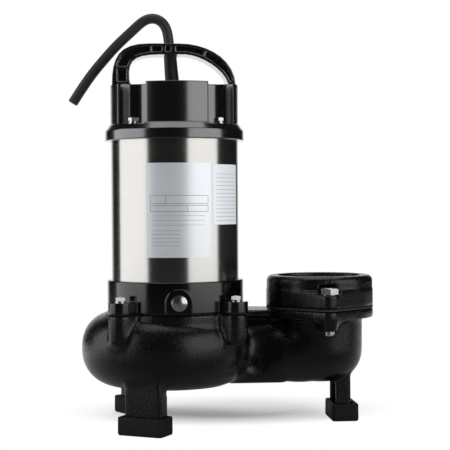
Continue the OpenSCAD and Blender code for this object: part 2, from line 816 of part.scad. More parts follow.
module upper_bearing_bracket() {
    low = upper_bearing_low;
    piece(aluminium_grey) difference() {
        union() {
            translate([0, 0, low]) cylinder(r = upper_hub_r, h = upper_bearing[2] + 5);
            translate([0, 0, low]) cylinder(r = spigot_r, h = web_top - low);
            translate([0, 0, low]) tube(spigot_r, bracket_rim_r, shell_top - low);
        }
        translate([0, 0, low - cut]) cylinder(r = upper_bearing[1] + seat_gap / 2, h = upper_bearing[2] + 2.2 + cut);
        for (a = [0:60:300]) rotate(a + 30) translate([fitting_x, 0, low - cut]) cylinder(r = 5, h = 10);
        at_corners(stay_circle_r) translate([0, 0, low - cut]) cylinder(d = stay_d + 0.6, h = shell_top - low + 2 * cut);
    }
}

// A ring of shallow waves that presses on the upper bearing's outer ring
module bearing_preload_spring() {
    z = upper_bearing[3] + upper_bearing[2] / 2 + 0.3;
    piece(bolt_steel) translate([0, 0, z]) tube(upper_bearing[1] - 0.4, upper_bearing[1] - 3.5, 1.4);
}

stack_z = lower_hub_top + lower_winding_room;
stack_top = upper_bearing_low - upper_winding_room;
stack_len = stack_top - stack_z;
slot_r1 = stator_bore_r + 2.5;
slot_r2 = slot_r1 + 13;
notch_r = stay_d / 2 + 1.4;

function slot_half(r, wall) = r * sin(180 / slots) - wall;

module slot_outline(inset) {
    w1 = slot_half(slot_r1, 2) - inset;
    w2 = slot_half(slot_r2, 2.2) - inset;
    polygon([[slot_r1 + inset, -w1], [slot_r2 - inset, -w2], [slot_r2 - inset, w2], [slot_r1 + inset, w1]]);
}

module stator_core() {
    piece(lamination) translate([0, 0, stack_z]) linear_extrude(stack_len) difference() {
        circle(r = spigot_r);
        circle(r = stator_bore_r);
        for (i = [0:slots - 1]) rotate(i * 360 / slots) {
            slot_outline(0);
            translate([stator_bore_r - 1, -1.2]) square([4, 2.4]);
        }
        at_corners(stay_circle_r) circle(r = notch_r);
        at_corners(stay_circle_r) translate([0, -notch_r]) square([10, 2 * notch_r]);
    }
}

overhang = 16;

module stator_windings() {
    piece(copper) {
        for (i = [0:slots - 1]) rotate(i * 360 / slots)
            translate([0, 0, stack_z - sink]) linear_extrude(stack_len + 2 * sink) slot_outline(0.3);
        for (z = [stack_z - overhang - seat_gap, stack_top + seat_gap]) translate([0, 0, z]) rotate_extrude() {
            translate([slot_r1 + 3, 0]) square([slot_r2 - slot_r1 - 2, overhang]);
            translate([slot_r1 + 0.5, 3]) square([slot_r2 - slot_r1 + 3, overhang - 6]);
            for (r = [slot_r1 + 3.5, slot_r2 + 0.5], h = [3, overhang - 3]) translate([r, h]) circle(r = 3);
        }
    }
}

module run_capacitor() {
    piece(aluminium_grey) translate([fitting_x, 0, web_top + seat_gap]) {
        cylinder(r = capacitor_r, h = 40);
        cylinder(r = capacitor_r - 1.5, h = 42);
        for (y = [-4, 4]) translate([-3, y - 0.4, 41]) cube([6, 0.8, 7]);
    }
}

module thermal_protector() {
    piece(cast_black) translate([-fitting_x, 0, web_top + seat_gap]) {
        cylinder(r = 11, h = 10);
        cylinder(r = 8, h = 13);
    }
}

// ---------------------------------------------------------------- head cover

// The cover seen from above: a disc with a scoop at each bolt
module cover_plan(inset) {
    difference() {
        circle(r = cover_body_r - inset);
        at_corners(stay_circle_r) circle(r = scoop_r + inset);
    }
}

function cubic(a, b, c, d, steps) = [
    for (i = [0:steps])
        let (t = i / steps, u = 1 - t)
            u * u * u * a + 3 * u * u * t * b + 3 * u * t * t * c + t * t * t * d
];

// The handle's two curves run from the left ledge over the top to the right ledge
grip_h = handle_h - 12;
handle_sink = 6;
arch_left = -69.5;
arch_right = 68;
grip_left = -50;
outer_curve = concat(
    [[arch_left, -handle_sink]],
    cubic([arch_left, 0], [arch_left, 0.66 * handle_h], [-62, handle_h], [-28, handle_h], 8),
    cubic([6, handle_h], [36, handle_h], [arch_right - 1.5, 0.65 * handle_h], [arch_right, 0], 9),
    [[arch_right, -handle_sink]]
);
inner_curve = concat(
    [[grip_left + 4, -handle_sink], [grip_left + 4, 0.2], [grip_left + 1.6, 1.2], [grip_left + 0.4, 3]],
    cubic([grip_left, 6], [grip_left - 2, 0.94 * grip_h], [-42, grip_h], [-4, grip_h], 8),
    cubic([12, grip_h], [30, grip_h - 1], [55, 0.53 * grip_h], [59.5, 2], 8),
    [[59.5, -handle_sink]]
);

module handle_face(inset) {
    if (inset == 0) {
        difference() {
            polygon(outer_curve);
            polygon(inner_curve);
        }
    } else {
        offset(delta = -inset) difference() {
            polygon(outer_curve);
            polygon(inner_curve);
        }
    }
}

// Ribs across the handle's channel, and the solid parts where it meets the cover
handle_posts = [[-26.8, handle_rib], [-14.1, 4.4], [-4.1, 5.6]];

module handle_ribs() {
    for (post = handle_posts) translate([post[0], grip_h - 6]) square([post[1], 20]);
    translate([28, grip_h - 12]) rotate(-20) square([handle_rib, 24]);
    translate([arch_left - sink, 0.41 * handle_h]) square([24, handle_rib]);
    for (foot = [arch_left - sink, 48]) translate([foot, -handle_sink - cut]) square([26, handle_sink + 5]);
    translate([arch_left - sink, 0]) square([8.2, 0.43 * handle_h]);
}

module handle() {
    pocket = (handle_depth - handle_web) / 2;
    difference() {
        translate([0, handle_depth / 2, ledge_z]) rotate([90, 0, 0]) linear_extrude(handle_depth) handle_face(0);
        for (y = [handle_depth / 2 + cut, -handle_depth / 2 + pocket]) translate([0, y, ledge_z])
            rotate([90, 0, 0]) linear_extrude(pocket + cut) difference() {
                handle_face(handle_rim);
                handle_ribs();
            }
    }
}

cord_hole_r = relief_d / 2 + seat_gap;
clamp_r = 13;
clamp_h = 5;
clamp_screw_x = 17;
clamp_screw_d = 4;

module head_cover() {
    piece(gloss_black) difference() {
        union() {
            translate([0, 0, cover_z]) cylinder(r = cover_ring_r, h = cover_band_h);
            difference() {
                translate([0, 0, band_top]) cylinder(r1 = cover_ring_r, r2 = cover_body_r + 1, h = cover_shoulder_h);
                at_corners(stay_circle_r) translate([0, 0, scoop_floor]) cylinder(r = scoop_r, h = 30);
            }
            translate([0, 0, band_top - sink]) linear_extrude(ledge_z - band_top + sink) cover_plan(0);
            handle();
        }
        translate([0, 0, cover_z - cut]) cylinder(r = seat_r, h = shell_seat + cut);
        translate([0, 0, cover_z + shell_seat / 2 - o_ring_t / 2 - 0.1]) cylinder(r = seat_r + o_ring_t, h = o_ring_t + 0.2);
        translate([0, 0, cover_z]) linear_extrude(ledge_z - cover_wall - cover_z) intersection() {
            cover_plan(cover_wall);
            circle(r = bracket_rim_r);
        }
        at_corners(stay_circle_r) translate([0, 0, cover_z]) cylinder(d = stay_d + 0.6, h = 30);
        translate([0, relief_y, ledge_z - 20]) cylinder(r = cord_hole_r, h = 30);
        clamp_screw_places() translate([0, 0, -8]) cylinder(d = clamp_screw_d + 2 * seat_gap, h = 20);
    }
}

module clamp_screw_places() {
    for (side = [-1, 1]) translate([side * clamp_screw_x, relief_y + 4, ledge_z]) children();
}

module cable_clamp() {
    piece(gloss_black) translate([0, 0, ledge_z + seat_gap]) linear_extrude(clamp_h) difference() {
        union() {
            translate([0, relief_y]) circle(r = clamp_r);
            translate([-clamp_screw_x, relief_y]) square([2 * clamp_screw_x, 8]);
            for (side = [-1, 1]) translate([side * clamp_screw_x, relief_y + 4]) circle(r = 5);
        }
        translate([0, relief_y]) circle(r = cord_hole_r);
        for (side = [-1, 1]) translate([side * clamp_screw_x, relief_y + 4]) circle(d = clamp_screw_d + 2 * seat_gap);
    }
}

module cable_clamp_screws() {
    piece(bolt_steel) clamp_screw_places() translate([0, 0, clamp_h + 2 * seat_gap]) {
        cylinder(d = 7, h = 2.6);
        translate([0, 0, -clamp_h - 7]) cylinder(d = clamp_screw_d, h = clamp_h + 8);
    }
}

stay_head_across = 10;
stay_head_h = 4;
stay_washer_t = 2.8;

module cover_bolts() {
    head_z = scoop_floor + stay_washer_t;
    piece(bolt_steel) at_corners(stay_circle_r) translate([0, 0, head_z])
        hex_bolt(stay_head_across, stay_head_h, stay_d, head_z - shell_z + stay_thread - 1);
}

module cover_bolt_washers() {
    piece(bolt_steel) at_corners(stay_circle_r) translate([0, 0, scoop_floor]) {
        tube(6, stay_d / 2 + seat_gap, stay_washer_t / 2);
        translate([0, 0, stay_washer_t / 2]) tube(4.9, stay_d / 2 + seat_gap, stay_washer_t / 2);
    }
}

// ---------------------------------------------------------------- cord

// The cord's middle line from the strain relief up, over and down to its cut end
cord_route = [
    [0, relief_y, 0], [-1, 32, 13], [-2, 32, 26], [-2.9, 32, 39.5], [-3.8, 32, 50], [-4.8, 32, 59], [-6.4, 32, 67],
    [-9.8, 32, 73.2], [-15, 32, 77.8], [-22, 32, 80.3], [-29, 32, 79.6], [-36.5, 33, 75.6], [-45.9, 33, 67.2],
    [-57.3, 34, 57.2], [-68.5, 34, 46.1], [-79.6, 35, 33], [-90.9, 35, 18], [-102.2, 36, 2.2], [-113.9, 36, -16]
];
relief_points = 3;
relief_sunk = 10;

function unit(v) = v / norm(v);

// Rings of a round tube through a list of points; across is a direction it never runs along
function tube_rings(path, radii, sides) = [
    for (i = [0:len(path) - 1])
        let (
            before = path[max(i - 1, 0)],
            after = path[min(i + 1, len(path) - 1)],
            along = unit(after - before),
            side = unit(cross(along, [0, 1, 0])),
            up = cross(side, along)
        )
        [for (j = [0:sides - 1]) path[i] + radii[i] * (cos(j * 360 / sides) * side + sin(j * 360 / sides) * up)]
];

// The relief is one tube from under the cover's roof up to the cord's visible start
module strain_relief() {
    foot = [cord_route[0] - [0, 0, relief_sunk]];
    path = concat(foot, [for (i = [0:relief_points]) cord_route[i]]);
    radii = [for (i = [0:relief_points + 1]) relief_d / 2 - 0.3 * i];
    piece(dark_rubber) translate([0, 0, ledge_z]) loft(tube_rings(path, radii, 24));
}

module power_cord() {
    path = [for (i = [relief_points:len(cord_route) - 1]) cord_route[i]];
    radii = [for (p = path) cord_d / 2];
    piece(dark_rubber) translate([0, 0, ledge_z]) loft(tube_rings(path, radii, 12));
}

// ---------------------------------------------------------------- shaft and seals

module rotor_shaft() {
    low_shoulder = lower_bearing[3] + lower_bearing[2] / 2 + 1.5;
    top_shoulder = upper_bearing[3] - upper_bearing[2] / 2 - 1.5;
    piece(bolt_steel) difference() {
        union() {
            translate([0, 0, shaft_low]) cylinder(r = nut_r, h = 20);
            translate([0, 0, shaft_low + 14]) cylinder(r = impeller_shaft_r, h = impeller_top + 2 - shaft_low - 14);
            translate([0, 0, impeller_top]) cylinder(r = lip_shaft_r, h = seal_low - impeller_top);
            translate([0, 0, seal_low]) cylinder(r = shoulder_r, h = low_shoulder - seal_low + 1);
            translate([0, 0, low_shoulder]) cylinder(r = shaft_r, h = top_shoulder - low_shoulder);
            translate([0, 0, top_shoulder - 1]) cylinder(r = upper_bearing[0], h = upper_bearing[2] + 3.5);
        }
        translate([impeller_shaft_r - key_sunk, -key_w / 2, impeller_top - 26]) cube([key_w, key_w, 22]);
        translate([0, 0, circlip_z]) tube(20, shoulder_r - 0.8, 1.4);
    }
}

module bearing_circlip() {
    piece(bolt_steel) translate([0, 0, circlip_z + 0.1]) difference() {
        tube(shoulder_r + 0.15, shoulder_r - 0.7, 1.2);
        translate([4, -2, -cut]) cube([12, 4, 4]);
    }
}

module rotor_core() {
    piece(lamination) translate([0, 0, stack_z]) tube(stator_bore_r - air_gap, shaft_r + seat_gap / 2, stack_len);
}

module rotor_end_rings() {
    piece(aluminium_grey) for (z = [stack_z - 7, stack_top]) translate([0, 0, z]) {
        tube(stator_bore_r - 1.5, 26, 7);
        for (i = [0:11]) rotate(i * 30) translate([27, -1, z > stack_z ? 6 : -5]) cube([8, 2, 6]);
    }
}

module seal_ring_shape(h) {
    tube(14, shoulder_r + seat_gap / 2, h);
}

module seal_rings() {
    piece(cast_black) {
        translate([0, 0, seal_low + seat_h + turn_gap]) seal_ring_shape(ring_h);
        translate([0, 0, seal_top - turn_gap - ring_h]) seal_ring_shape(ring_h);
    }
}

module lower_seal_seat() {
    piece(ceramic) translate([0, 0, seal_low]) tube(seat_recess_r - seat_gap / 2, seat_r_in, seat_h);
}

module upper_seal_seat() {
    piece(ceramic) translate([0, 0, seal_top]) tube(seat_recess_r - seat_gap / 2, seat_r_in, seat_h);
}

module lip_seal() {
    piece(dark_rubber) translate([0, 0, oil_floor_z]) difference() {
        cylinder(r = seat_recess_r + 1 - seat_gap / 2, h = lip_seal_h - seat_gap);
        translate([0, 0, -cut]) cylinder(r = lip_shaft_r + turn_gap, h = lip_seal_h + 2);
        translate([0, 0, -cut]) tube(14, lip_shaft_r + 1.5, 4);
    }
}

spring_turns = 4;
spring_wire_r = 0.9;

module seal_spring() {
    low = seal_low + seat_h + turn_gap + ring_h + spring_wire_r + seat_gap;
    high = seal_top - turn_gap - ring_h - spring_wire_r - seat_gap;
    steps = spring_turns * 12;
    path = [for (i = [0:steps]) let (a = i * 360 * spring_turns / steps)
        [12.2 * cos(a), 12.2 * sin(a), low + (high - low) * i / steps]];
    rings = [for (i = [0:steps]) let (a = i * 360 * spring_turns / steps)
        [for (j = [0:5]) path[i] + spring_wire_r * (cos(60 * j) * [cos(a), sin(a), 0] + sin(60 * j) * [0, 0, 1])]];
    piece(bolt_steel) loft(rings);
}

// ---------------------------------------------------------------- ball bearings

function pitch_r(b) = (b[0] + b[1]) / 2;

module bearing_outer_ring(b) {
    piece(bolt_steel) translate([0, 0, b[3]]) rotate_extrude() difference() {
        translate([pitch_r(b) + 2, -b[2] / 2]) square([b[1] - pitch_r(b) - 2, b[2]]);
        translate([pitch_r(b), 0]) circle(r = ball_d / 2 + turn_gap);
    }
}

module bearing_inner_ring(b) {
    piece(bolt_steel) translate([0, 0, b[3]]) rotate_extrude() difference() {
        translate([b[0] + seat_gap / 2, -b[2] / 2]) square([pitch_r(b) - 2 - b[0] - seat_gap / 2, b[2]]);
        translate([pitch_r(b), 0]) circle(r = ball_d / 2 + turn_gap);
    }
}

module at_balls(b, count) {
    translate([0, 0, b[3]]) for (i = [0:count - 1]) rotate(i * 360 / count) translate([pitch_r(b), 0, 0]) children();
}

module bearing_cage(b, count) {
    piece(bronze) difference() {
        translate([0, 0, b[3] - ball_d / 2 - 1]) tube(pitch_r(b) + 1.2, pitch_r(b) - 1.2, ball_d + 2);
        at_balls(b, count) rotate([0, 90, 0]) cylinder(r = ball_d / 2 + turn_gap, h = 8, center = true);
    }
}

lower_balls = 8;
upper_balls = 7;

module lower_bearing_outer_ring() {
    bearing_outer_ring(lower_bearing);
}

module lower_bearing_inner_ring() {
    bearing_inner_ring(lower_bearing);
}

module lower_bearing_balls() {
    piece(bolt_steel) at_balls(lower_bearing, lower_balls) sphere(d = ball_d, $fn = 24);
}

module lower_bearing_cage() {
    bearing_cage(lower_bearing, lower_balls);
}

module upper_bearing_outer_ring() {
    bearing_outer_ring(upper_bearing);
}

module upper_bearing_inner_ring() {
    bearing_inner_ring(upper_bearing);
}

module upper_bearing_balls() {
    piece(bolt_steel) at_balls(upper_bearing, upper_balls) sphere(d = ball_d, $fn = 24);
}

module upper_bearing_cage() {
    bearing_cage(upper_bearing, upper_balls);
}

// ---------------------------------------------------------------- impeller

hub_r = 15;
back_plate_t = 6;
impeller_hub_h = 32;

// A vane is a slice of a ring whose middle lies off the axis, so that it trails the turn
module vane() {
    bend_r = 40;
    intersection() {
        difference() {
            translate([hub_r - 4, -bend_r + 2]) circle(r = bend_r);
            translate([hub_r - 4, -bend_r + 2]) circle(r = bend_r - vane_t);
        }
        circle(r = impeller_r - 0.5);
        translate([hub_r - 4, -bend_r]) square([impeller_r, 2 * bend_r]);
    }
}

module impeller() {
    low = impeller_top - impeller_hub_h;
    piece(impeller_grey) difference() {
        union() {
            translate([0, 0, low]) cylinder(r = hub_r, h = impeller_hub_h);
            translate([0, 0, impeller_top - 2 - back_plate_t]) cylinder(r = impeller_r, h = back_plate_t);
            translate([0, 0, impeller_top - 2 - back_plate_t - vane_h]) linear_extrude(vane_h + sink)
                for (i = [0:vanes - 1]) rotate(i * 360 / vanes) vane();
        }
        translate([0, 0, low - cut]) cylinder(r = impeller_shaft_r + seat_gap / 2, h = impeller_hub_h + 2 * cut);
        translate([0, -key_w / 2 - seat_gap / 2, impeller_top - 27]) cube([impeller_shaft_r + key_w - key_sunk + seat_gap, key_w + seat_gap, 40]);
    }
}

module impeller_key() {
    piece(bolt_steel) translate([impeller_shaft_r - key_sunk + seat_gap / 2, -key_w / 2 + seat_gap / 2, impeller_top - 25.9])
        cube([key_w - seat_gap, key_w - seat_gap, 21.8]);
}

module impeller_washer() {
    piece(bolt_steel) translate([0, 0, impeller_top - impeller_hub_h - 2 - seat_gap]) tube(13, nut_r + seat_gap, 2);
}

module impeller_nut() {
    top = impeller_top - impeller_hub_h - 2 - 2 * seat_gap;
    piece(bolt_steel) difference() {
        union() {
            translate([0, 0, top - 10]) cylinder(d = 18 * 2 / sqrt(3), h = 10, $fn = 6);
            intersection() {
                translate([0, 0, top - 10]) sphere(r = 8.5);
                translate([0, 0, top - 20]) cylinder(r = 9, h = 12);
            }
        }
        translate([0, 0, shaft_low - seat_gap]) cylinder(r = nut_r + seat_gap / 2, h = 30);
    }
}

volute_casing();
suction_cover();
suction_cover_screws();
casing_gasket();
foot_boot_front();
foot_boot_back();
foot_boot_outlet();
flange_gasket();
discharge_flange();
flange_bolts();
oil_casing();
casing_bolts();
casing_bolt_washers();
oil_plug();
oil_plug_washer();
motor_shell();
lower_o_ring();
upper_o_ring();
lower_bearing_bracket();
upper_bearing_bracket();
bearing_preload_spring();
stator_core();
stator_windings();
run_capacitor();
thermal_protector();
head_cover();
cover_bolts();
cover_bolt_washers();
cable_clamp();
cable_clamp_screws();
strain_relief();
power_cord();
lip_seal();
lower_seal_seat();
upper_seal_seat();
lower_bearing_outer_ring();
upper_bearing_outer_ring();
rotor_shaft();
rotor_core();
rotor_end_rings();
lower_bearing_inner_ring();
upper_bearing_inner_ring();
bearing_circlip();
seal_rings();
seal_spring();
impeller();
impeller_key();
impeller_washer();
impeller_nut();
lower_bearing_balls();
lower_bearing_cage();
upper_bearing_balls();
upper_bearing_cage();
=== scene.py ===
"""Dresses the frame of a submersible sump pump.

The castings get rounded skins and the discharge gets its thread. The cord, the bolts, the rubber
boots and the bare labels are added, every piece takes its finish, and the pump stands in a plain
studio. All lengths are in metres.
"""

import json
import math

import bmesh
import bpy
import numpy as np
from mathutils import Matrix, Vector


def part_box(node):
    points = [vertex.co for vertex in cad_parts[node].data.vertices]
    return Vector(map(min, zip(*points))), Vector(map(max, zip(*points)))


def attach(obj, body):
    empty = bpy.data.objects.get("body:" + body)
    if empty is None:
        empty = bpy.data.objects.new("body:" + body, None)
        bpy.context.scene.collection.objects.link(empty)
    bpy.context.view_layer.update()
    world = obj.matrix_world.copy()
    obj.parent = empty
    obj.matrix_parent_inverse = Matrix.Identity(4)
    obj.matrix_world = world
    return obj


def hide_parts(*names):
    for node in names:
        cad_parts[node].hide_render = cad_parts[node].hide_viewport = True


bl_info = {
    "name": "Submersible sump pump",
    "version": (1, 0, 0),
    "blender": (4, 5, 0),
    "location": "3D View > Sidebar > Pump",
    "description": "Castings, housing, cord, boots and fasteners of a submersible sump pump",
    "category": "Add Mesh",
}

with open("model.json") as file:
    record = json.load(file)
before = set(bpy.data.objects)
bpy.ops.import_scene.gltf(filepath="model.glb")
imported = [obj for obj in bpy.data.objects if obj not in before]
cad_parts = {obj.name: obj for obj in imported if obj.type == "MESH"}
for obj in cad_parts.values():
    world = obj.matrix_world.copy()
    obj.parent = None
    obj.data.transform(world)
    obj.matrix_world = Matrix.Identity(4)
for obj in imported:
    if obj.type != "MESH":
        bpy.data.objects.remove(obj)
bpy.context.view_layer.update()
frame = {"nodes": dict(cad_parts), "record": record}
NODES = frame["nodes"]
TURN = 2 * math.pi


def plan_middle(node):
    """The middle of a node's box seen from above, as x and y."""
    low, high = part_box(node)
    return np.array(((low + high) / 2)[:2])


def extent(node, axis):
    """The lowest and the highest place of a node along x, y or z."""
    low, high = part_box(node)
    return low[axis], high[axis]


MOTOR = plan_middle("motor_shell")
OUTLET = plan_middle("discharge_flange")
SHELL_R = (extent("motor_shell", 0)[1] - extent("motor_shell", 0)[0]) / 2


# ---- Meshes ----

# How near two points are merged, on a new grid and on a node's loose triangles
GRID_MERGE, NODE_MERGE = 1e-6, 1e-5


def new_object(name, data):
    """An object that holds the given data, in the scene."""
    made = bpy.data.objects.new(name, data)
    bpy.context.scene.collection.objects.link(made)
    return made


def vertex_rows(mesh, what):
    """The places ("co") or the normals ("normal") of a mesh's points, one row each."""
    rows = np.empty(len(mesh.vertices) * 3, np.float32)
    mesh.vertices.foreach_get(what, rows)
    return rows.reshape(-1, 3).astype(float)


def move_points(mesh, points):
    """Puts a mesh's points at the given places."""
    mesh.vertices.foreach_set("co", points.reshape(-1))
    mesh.update()


def merge_points(mesh, distance, outwards=False):
    """Merges points nearer than the distance, and turns the faces outwards where asked to."""
    work = bmesh.new()
    work.from_mesh(mesh)
    bmesh.ops.remove_doubles(work, verts=work.verts, dist=distance)
    if outwards:
        bmesh.ops.recalc_face_normals(work, faces=work.faces)
    work.to_mesh(mesh)
    work.free()


def grid_faces(rows, cols, wrap, ends, start):
    """The faces of a grid whose points are counted row by row from a start.

    Quad (i, j) joins point (i, j) to its neighbours (i, j + 1), (i + 1, j + 1) and (i + 1, j). A
    wrapped direction runs on from its last row to its first, and a closed end lays one face over
    row 0 or the last row.
    """
    i = np.arange(rows if wrap[0] else rows - 1)[:, None]
    j = np.arange(cols if wrap[1] else cols - 1)[None, :]
    i2, j2 = (i + 1) % rows, (j + 1) % cols
    corners = (i * cols + j, i * cols + j2, i2 * cols + j2, i2 * cols + j)
    faces = (np.stack(corners, axis=-1).reshape(-1, 4) + start).tolist()
    if ends[0]:
        faces.append((start + np.arange(cols)[::-1]).tolist())
    if ends[1]:
        faces.append((start + (rows - 1) * cols + np.arange(cols)).tolist())
    return faces


def tube(grid):
    """A sheet whose rows are rings, with a face over the first and over the last."""
    return grid, (False, True), (True, True)


def grid_mesh(name, sheets):
    """One mesh of several sheets.

    Each is (points, wrap, ends), its points an array of rows, columns and x, y, z.
    """
    points, faces, start = [], [], 0
    for grid, wrap, ends in sheets:
        rows, cols = grid.shape[:2]
        faces += grid_faces(rows, cols, wrap, ends, start)
        points.append(grid.reshape(-1, 3))
        start += rows * cols
    mesh = bpy.data.meshes.new(name)
    mesh.from_pydata(np.concatenate(points).tolist(), [], faces)
    return mesh


def add_piece(name, sheets, material, crease=35, outwards=False):
    """Adds a piece made of sheets, in the named material, that rides on the pump's body.

    It is smooth up to a crease of so many degrees.
    """
    mesh = grid_mesh(name, sheets)
    if outwards:
        merge_points(mesh, GRID_MERGE, outwards=True)
    mesh.shade_smooth()
    mesh.set_sharp_from_angle(angle=math.radians(crease))
    mesh.materials.append(bpy.data.materials[material])
    piece = new_object(name, mesh)
    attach(piece, "pump_body")
    return piece


# ---- Surfaces ----


def round_grid(centre, radius, angle, height):
    """Points round an upright axis: x + radius cos angle, y + radius sin angle, and the height."""
    radius, angle, height = np.broadcast_arrays(radius, angle, height)
    x, y = centre[0] + radius * np.cos(angle), centre[1] + radius * np.sin(angle)
    return np.stack([x, y, height], axis=-1)


def turn_steps(steps):
    """The angles of a whole turn in equal steps."""
    return np.arange(steps) * TURN / steps


def unit(vectors):
    """Vectors, each divided by its length."""
    return vectors / np.linalg.norm(vectors, axis=-1, keepdims=True)


def smooth_path(points, steps):
    """A Catmull-Rom curve, in so many steps from each point to the next.

    Between two points it is half of (2B + (C - A) t + (2A - 5B + 4C - D) t^2 +
    (3B - A - 3C + D) t^3), where A to D are the four points around t.
    """
    p = np.asarray(points, float)
    p = np.concatenate([2 * p[:1] - p[1:2], p, 2 * p[-1:] - p[-2:-1]])
    t = np.linspace(0, 1, steps, endpoint=False)[None, :, None]
    a, b, c, d = (p[k:len(p) - 3 + k, None, :] for k in range(4))
    square, cube = 2 * a - 5 * b + 4 * c - d, 3 * b - a - 3 * c + d
    curve = 0.5 * (2 * b + (c - a) * t + square * t**2 + cube * t**3)
    return np.concatenate([curve.reshape(-1, 3), p[-2:-1]])


def even_out(path, rounds):
    """Moves each inner point to a quarter of its neighbours plus half of itself, rounds times."""
    for _ in range(rounds):
        inner = (path[:-2] + 2 * path[1:-1] + path[2:]) / 4
        path = np.concatenate([path[:1], inner, path[-1:]])
    return path


def carry(path, radii, steps=24):
    """A round section carried along a path.

    Point (i, j) is path point i plus radius i times (cos a side + sin a up), where side stands
    square to the path and to +Y, and up square to both.
    """
    along = unit(np.gradient(path, axis=0))
    side = unit(np.cross(along, [0.0, 1.0, 0.0]))
    up = np.cross(side, along)
    angle = turn_steps(steps)[None, :, None]
    ring = np.cos(angle) * side[:, None, :] + np.sin(angle) * up[:, None, :]
    return path[:, None, :] + np.asarray(radii, float)[:, None, None] * ring


def rounded_rectangle(width, depth, radius, steps=12):
    """The outline of a rectangle with round corners.

    Each corner is a quarter turn of its centre plus radius times (cos a, sin a).
    """
    signs = np.array([[1, 1], [-1, 1], [-1, -1], [1, -1]])
    corners = signs * [width / 2 - radius, depth / 2 - radius]
    angle = np.linspace(0, TURN / 4, steps)[None, :] + np.arange(4)[:, None] * TURN / 4
    ring = corners[:, None, :] + radius * np.stack([np.cos(angle), np.sin(angle)], axis=-1)
    return ring.reshape(-1, 2)


def hexagon(angle, across):
    """A hexagon's outline: half its width across flats, over the cosine from a flat's middle."""
    return across / 2 / np.cos(np.mod(angle + TURN / 12, TURN / 6) - TURN / 12)


def hex_bolt(place, across, head, shank, turned, steps=48):
    """A hexagon bolt: point (i, j) stands at row i's radius in direction j.

    The head's rows take the hexagon's radius, and its top row falls from the round face by tan 30
    degrees for each unit that the hexagon stands beyond it.
    """
    x, y, low, top = place
    angle = turn_steps(steps)
    corner = hexagon(angle, across)
    # The round face is a little narrower than the flats
    face, seat = 0.475 * across, top - head
    fall = (corner - face) * math.tan(math.radians(30))
    # Radius and height of each row: the shank, the face under the head, its flats, its top
    rows = (
        (0.80 * shank, low),
        (shank, low + 0.2 * shank),
        (shank, seat),
        (face, seat),
        (face, seat + 0.07 * head),
        (corner - 0.2 * (corner - face), seat + 0.07 * head),
        (corner, seat + 0.10 * head),
        (corner, top - fall),
        (face, top),
        (0.80 * face, top),
        (0.76 * face, top - 0.04 * head),
        (0.20 * face, top - 0.04 * head),
    )
    radius, height = (
        np.stack([np.broadcast_to(row[k], steps) for row in rows]) for k in (0, 1)
    )
    return round_grid((x, y), radius, angle + turned, height)


def film_patch(middle, width, low, high, corner, lift, columns=25, rows=9, corner_rows=7):
    """A thin film wrapped on the housing, round-cornered and closed all round.

    Row i stands at height v(i), and half its width is the patch's half-width less (corner - the
    root of corner^2 - d^2), where d is how far v stands into a rounded corner. The front runs
    over that width one way, and the back, just inside the tube, the other way.
    """
    half = (high - low) / 2
    rim = half - corner + corner * np.sin(np.linspace(0, TURN / 4, corner_rows))
    v = np.concatenate([-rim[::-1], np.linspace(corner - half, half - corner, rows)[1:-1], rim])
    into = np.maximum(np.abs(v) - (half - corner), 0)
    reach = width / 2 - corner + np.sqrt(np.maximum(corner**2 - into**2, 0))
    across = np.linspace(-1, 1, columns)
    there_and_back = np.concatenate([across, across[::-1]])[None, :]
    angle = middle + there_and_back * reach[:, None] / SHELL_R
    radius = SHELL_R + np.repeat([lift, -FILM_BACK], columns)[None, :]
    return round_grid(MOTOR, radius, angle, (v + (low + high) / 2)[:, None])


def thread_liner(low, high, pitch, steps=96, rows_per_turn=8):
    """The threaded lining of the outlet's bore, a closed ring.

    Its inner face stands at the root's radius less the thread's depth times a triangle wave of
    (height / pitch - angle / turn), faded out over the first and last half turn, and its back
    stands at the wall's radius.
    """
    rows = int(round((high - low) / pitch * rows_per_turn)) + 1
    height = np.linspace(low, high, rows)[:, None]
    angle = turn_steps(steps)[None, :]
    phase = np.mod((height - low) / pitch - angle / TURN, 1)
    ridge = 1 - np.abs(2 * phase - 1)
    fade = np.clip(np.minimum(height - low, high - height) / (0.5 * pitch), 0, 1)
    inner = THREAD_ROOT - (THREAD_ROOT - THREAD_CREST) * ridge * fade
    radius = np.concatenate([inner, np.full((2, steps), THREAD_WALL)])
    return round_grid(OUTLET, radius, angle, np.concatenate([height, [[high], [low]]]))


def boot_cup(node, corner):
    """A rubber boot: each row is a rectangle with round corners.

    Row i is drawn in by BOOT_SECTION's inset i at its height i, and the short side lies along the
    line from where the legs meet.
    """
    place = plan_middle(node)
    away = place - LEGS_MEET
    angle = math.atan2(away[1], away[0])
    low, high = extent(node, 2)
    rows = []
    for inset, lift in BOOT_SECTION:
        radius = max(corner - inset, BOOT_LEAST_CORNER)
        x, y = rounded_rectangle(BOOT_WIDTH - 2 * inset, BOOT_LENGTH - 2 * inset, radius).T
        rows.append(np.stack([
            place[0] + x * math.cos(angle) - y * math.sin(angle),
            place[1] + x * math.sin(angle) + y * math.cos(angle),
            np.full(len(x), low + lift * (high - low) / BOOT_HEIGHT),
        ], axis=-1))
    return np.stack(rows)


def bolt_places(node):
    """Where each bolt of a node stands: x, y, its lowest and its highest point.

    A bolt's points are those within BOLT_REACH of its first, seen from above.
    """
    points = vertex_rows(NODES[node].data, "co")
    places = []
    while len(points):
        near = np.linalg.norm(points[:, :2] - points[0, :2], axis=1) < BOLT_REACH
        low, high = points[near].min(axis=0), points[near].max(axis=0)
        places.append(((low[0] + high[0]) / 2, (low[1] + high[1]) / 2, low[2], high[2]))
        points = points[~near]
    return places


def take_shape(source):
    """Applies an object's modifiers to its mesh."""
    graph = bpy.context.evaluated_depsgraph_get()
    made = bpy.data.meshes.new_from_object(source.evaluated_get(graph))
    source.modifiers.clear()
    source.data = made


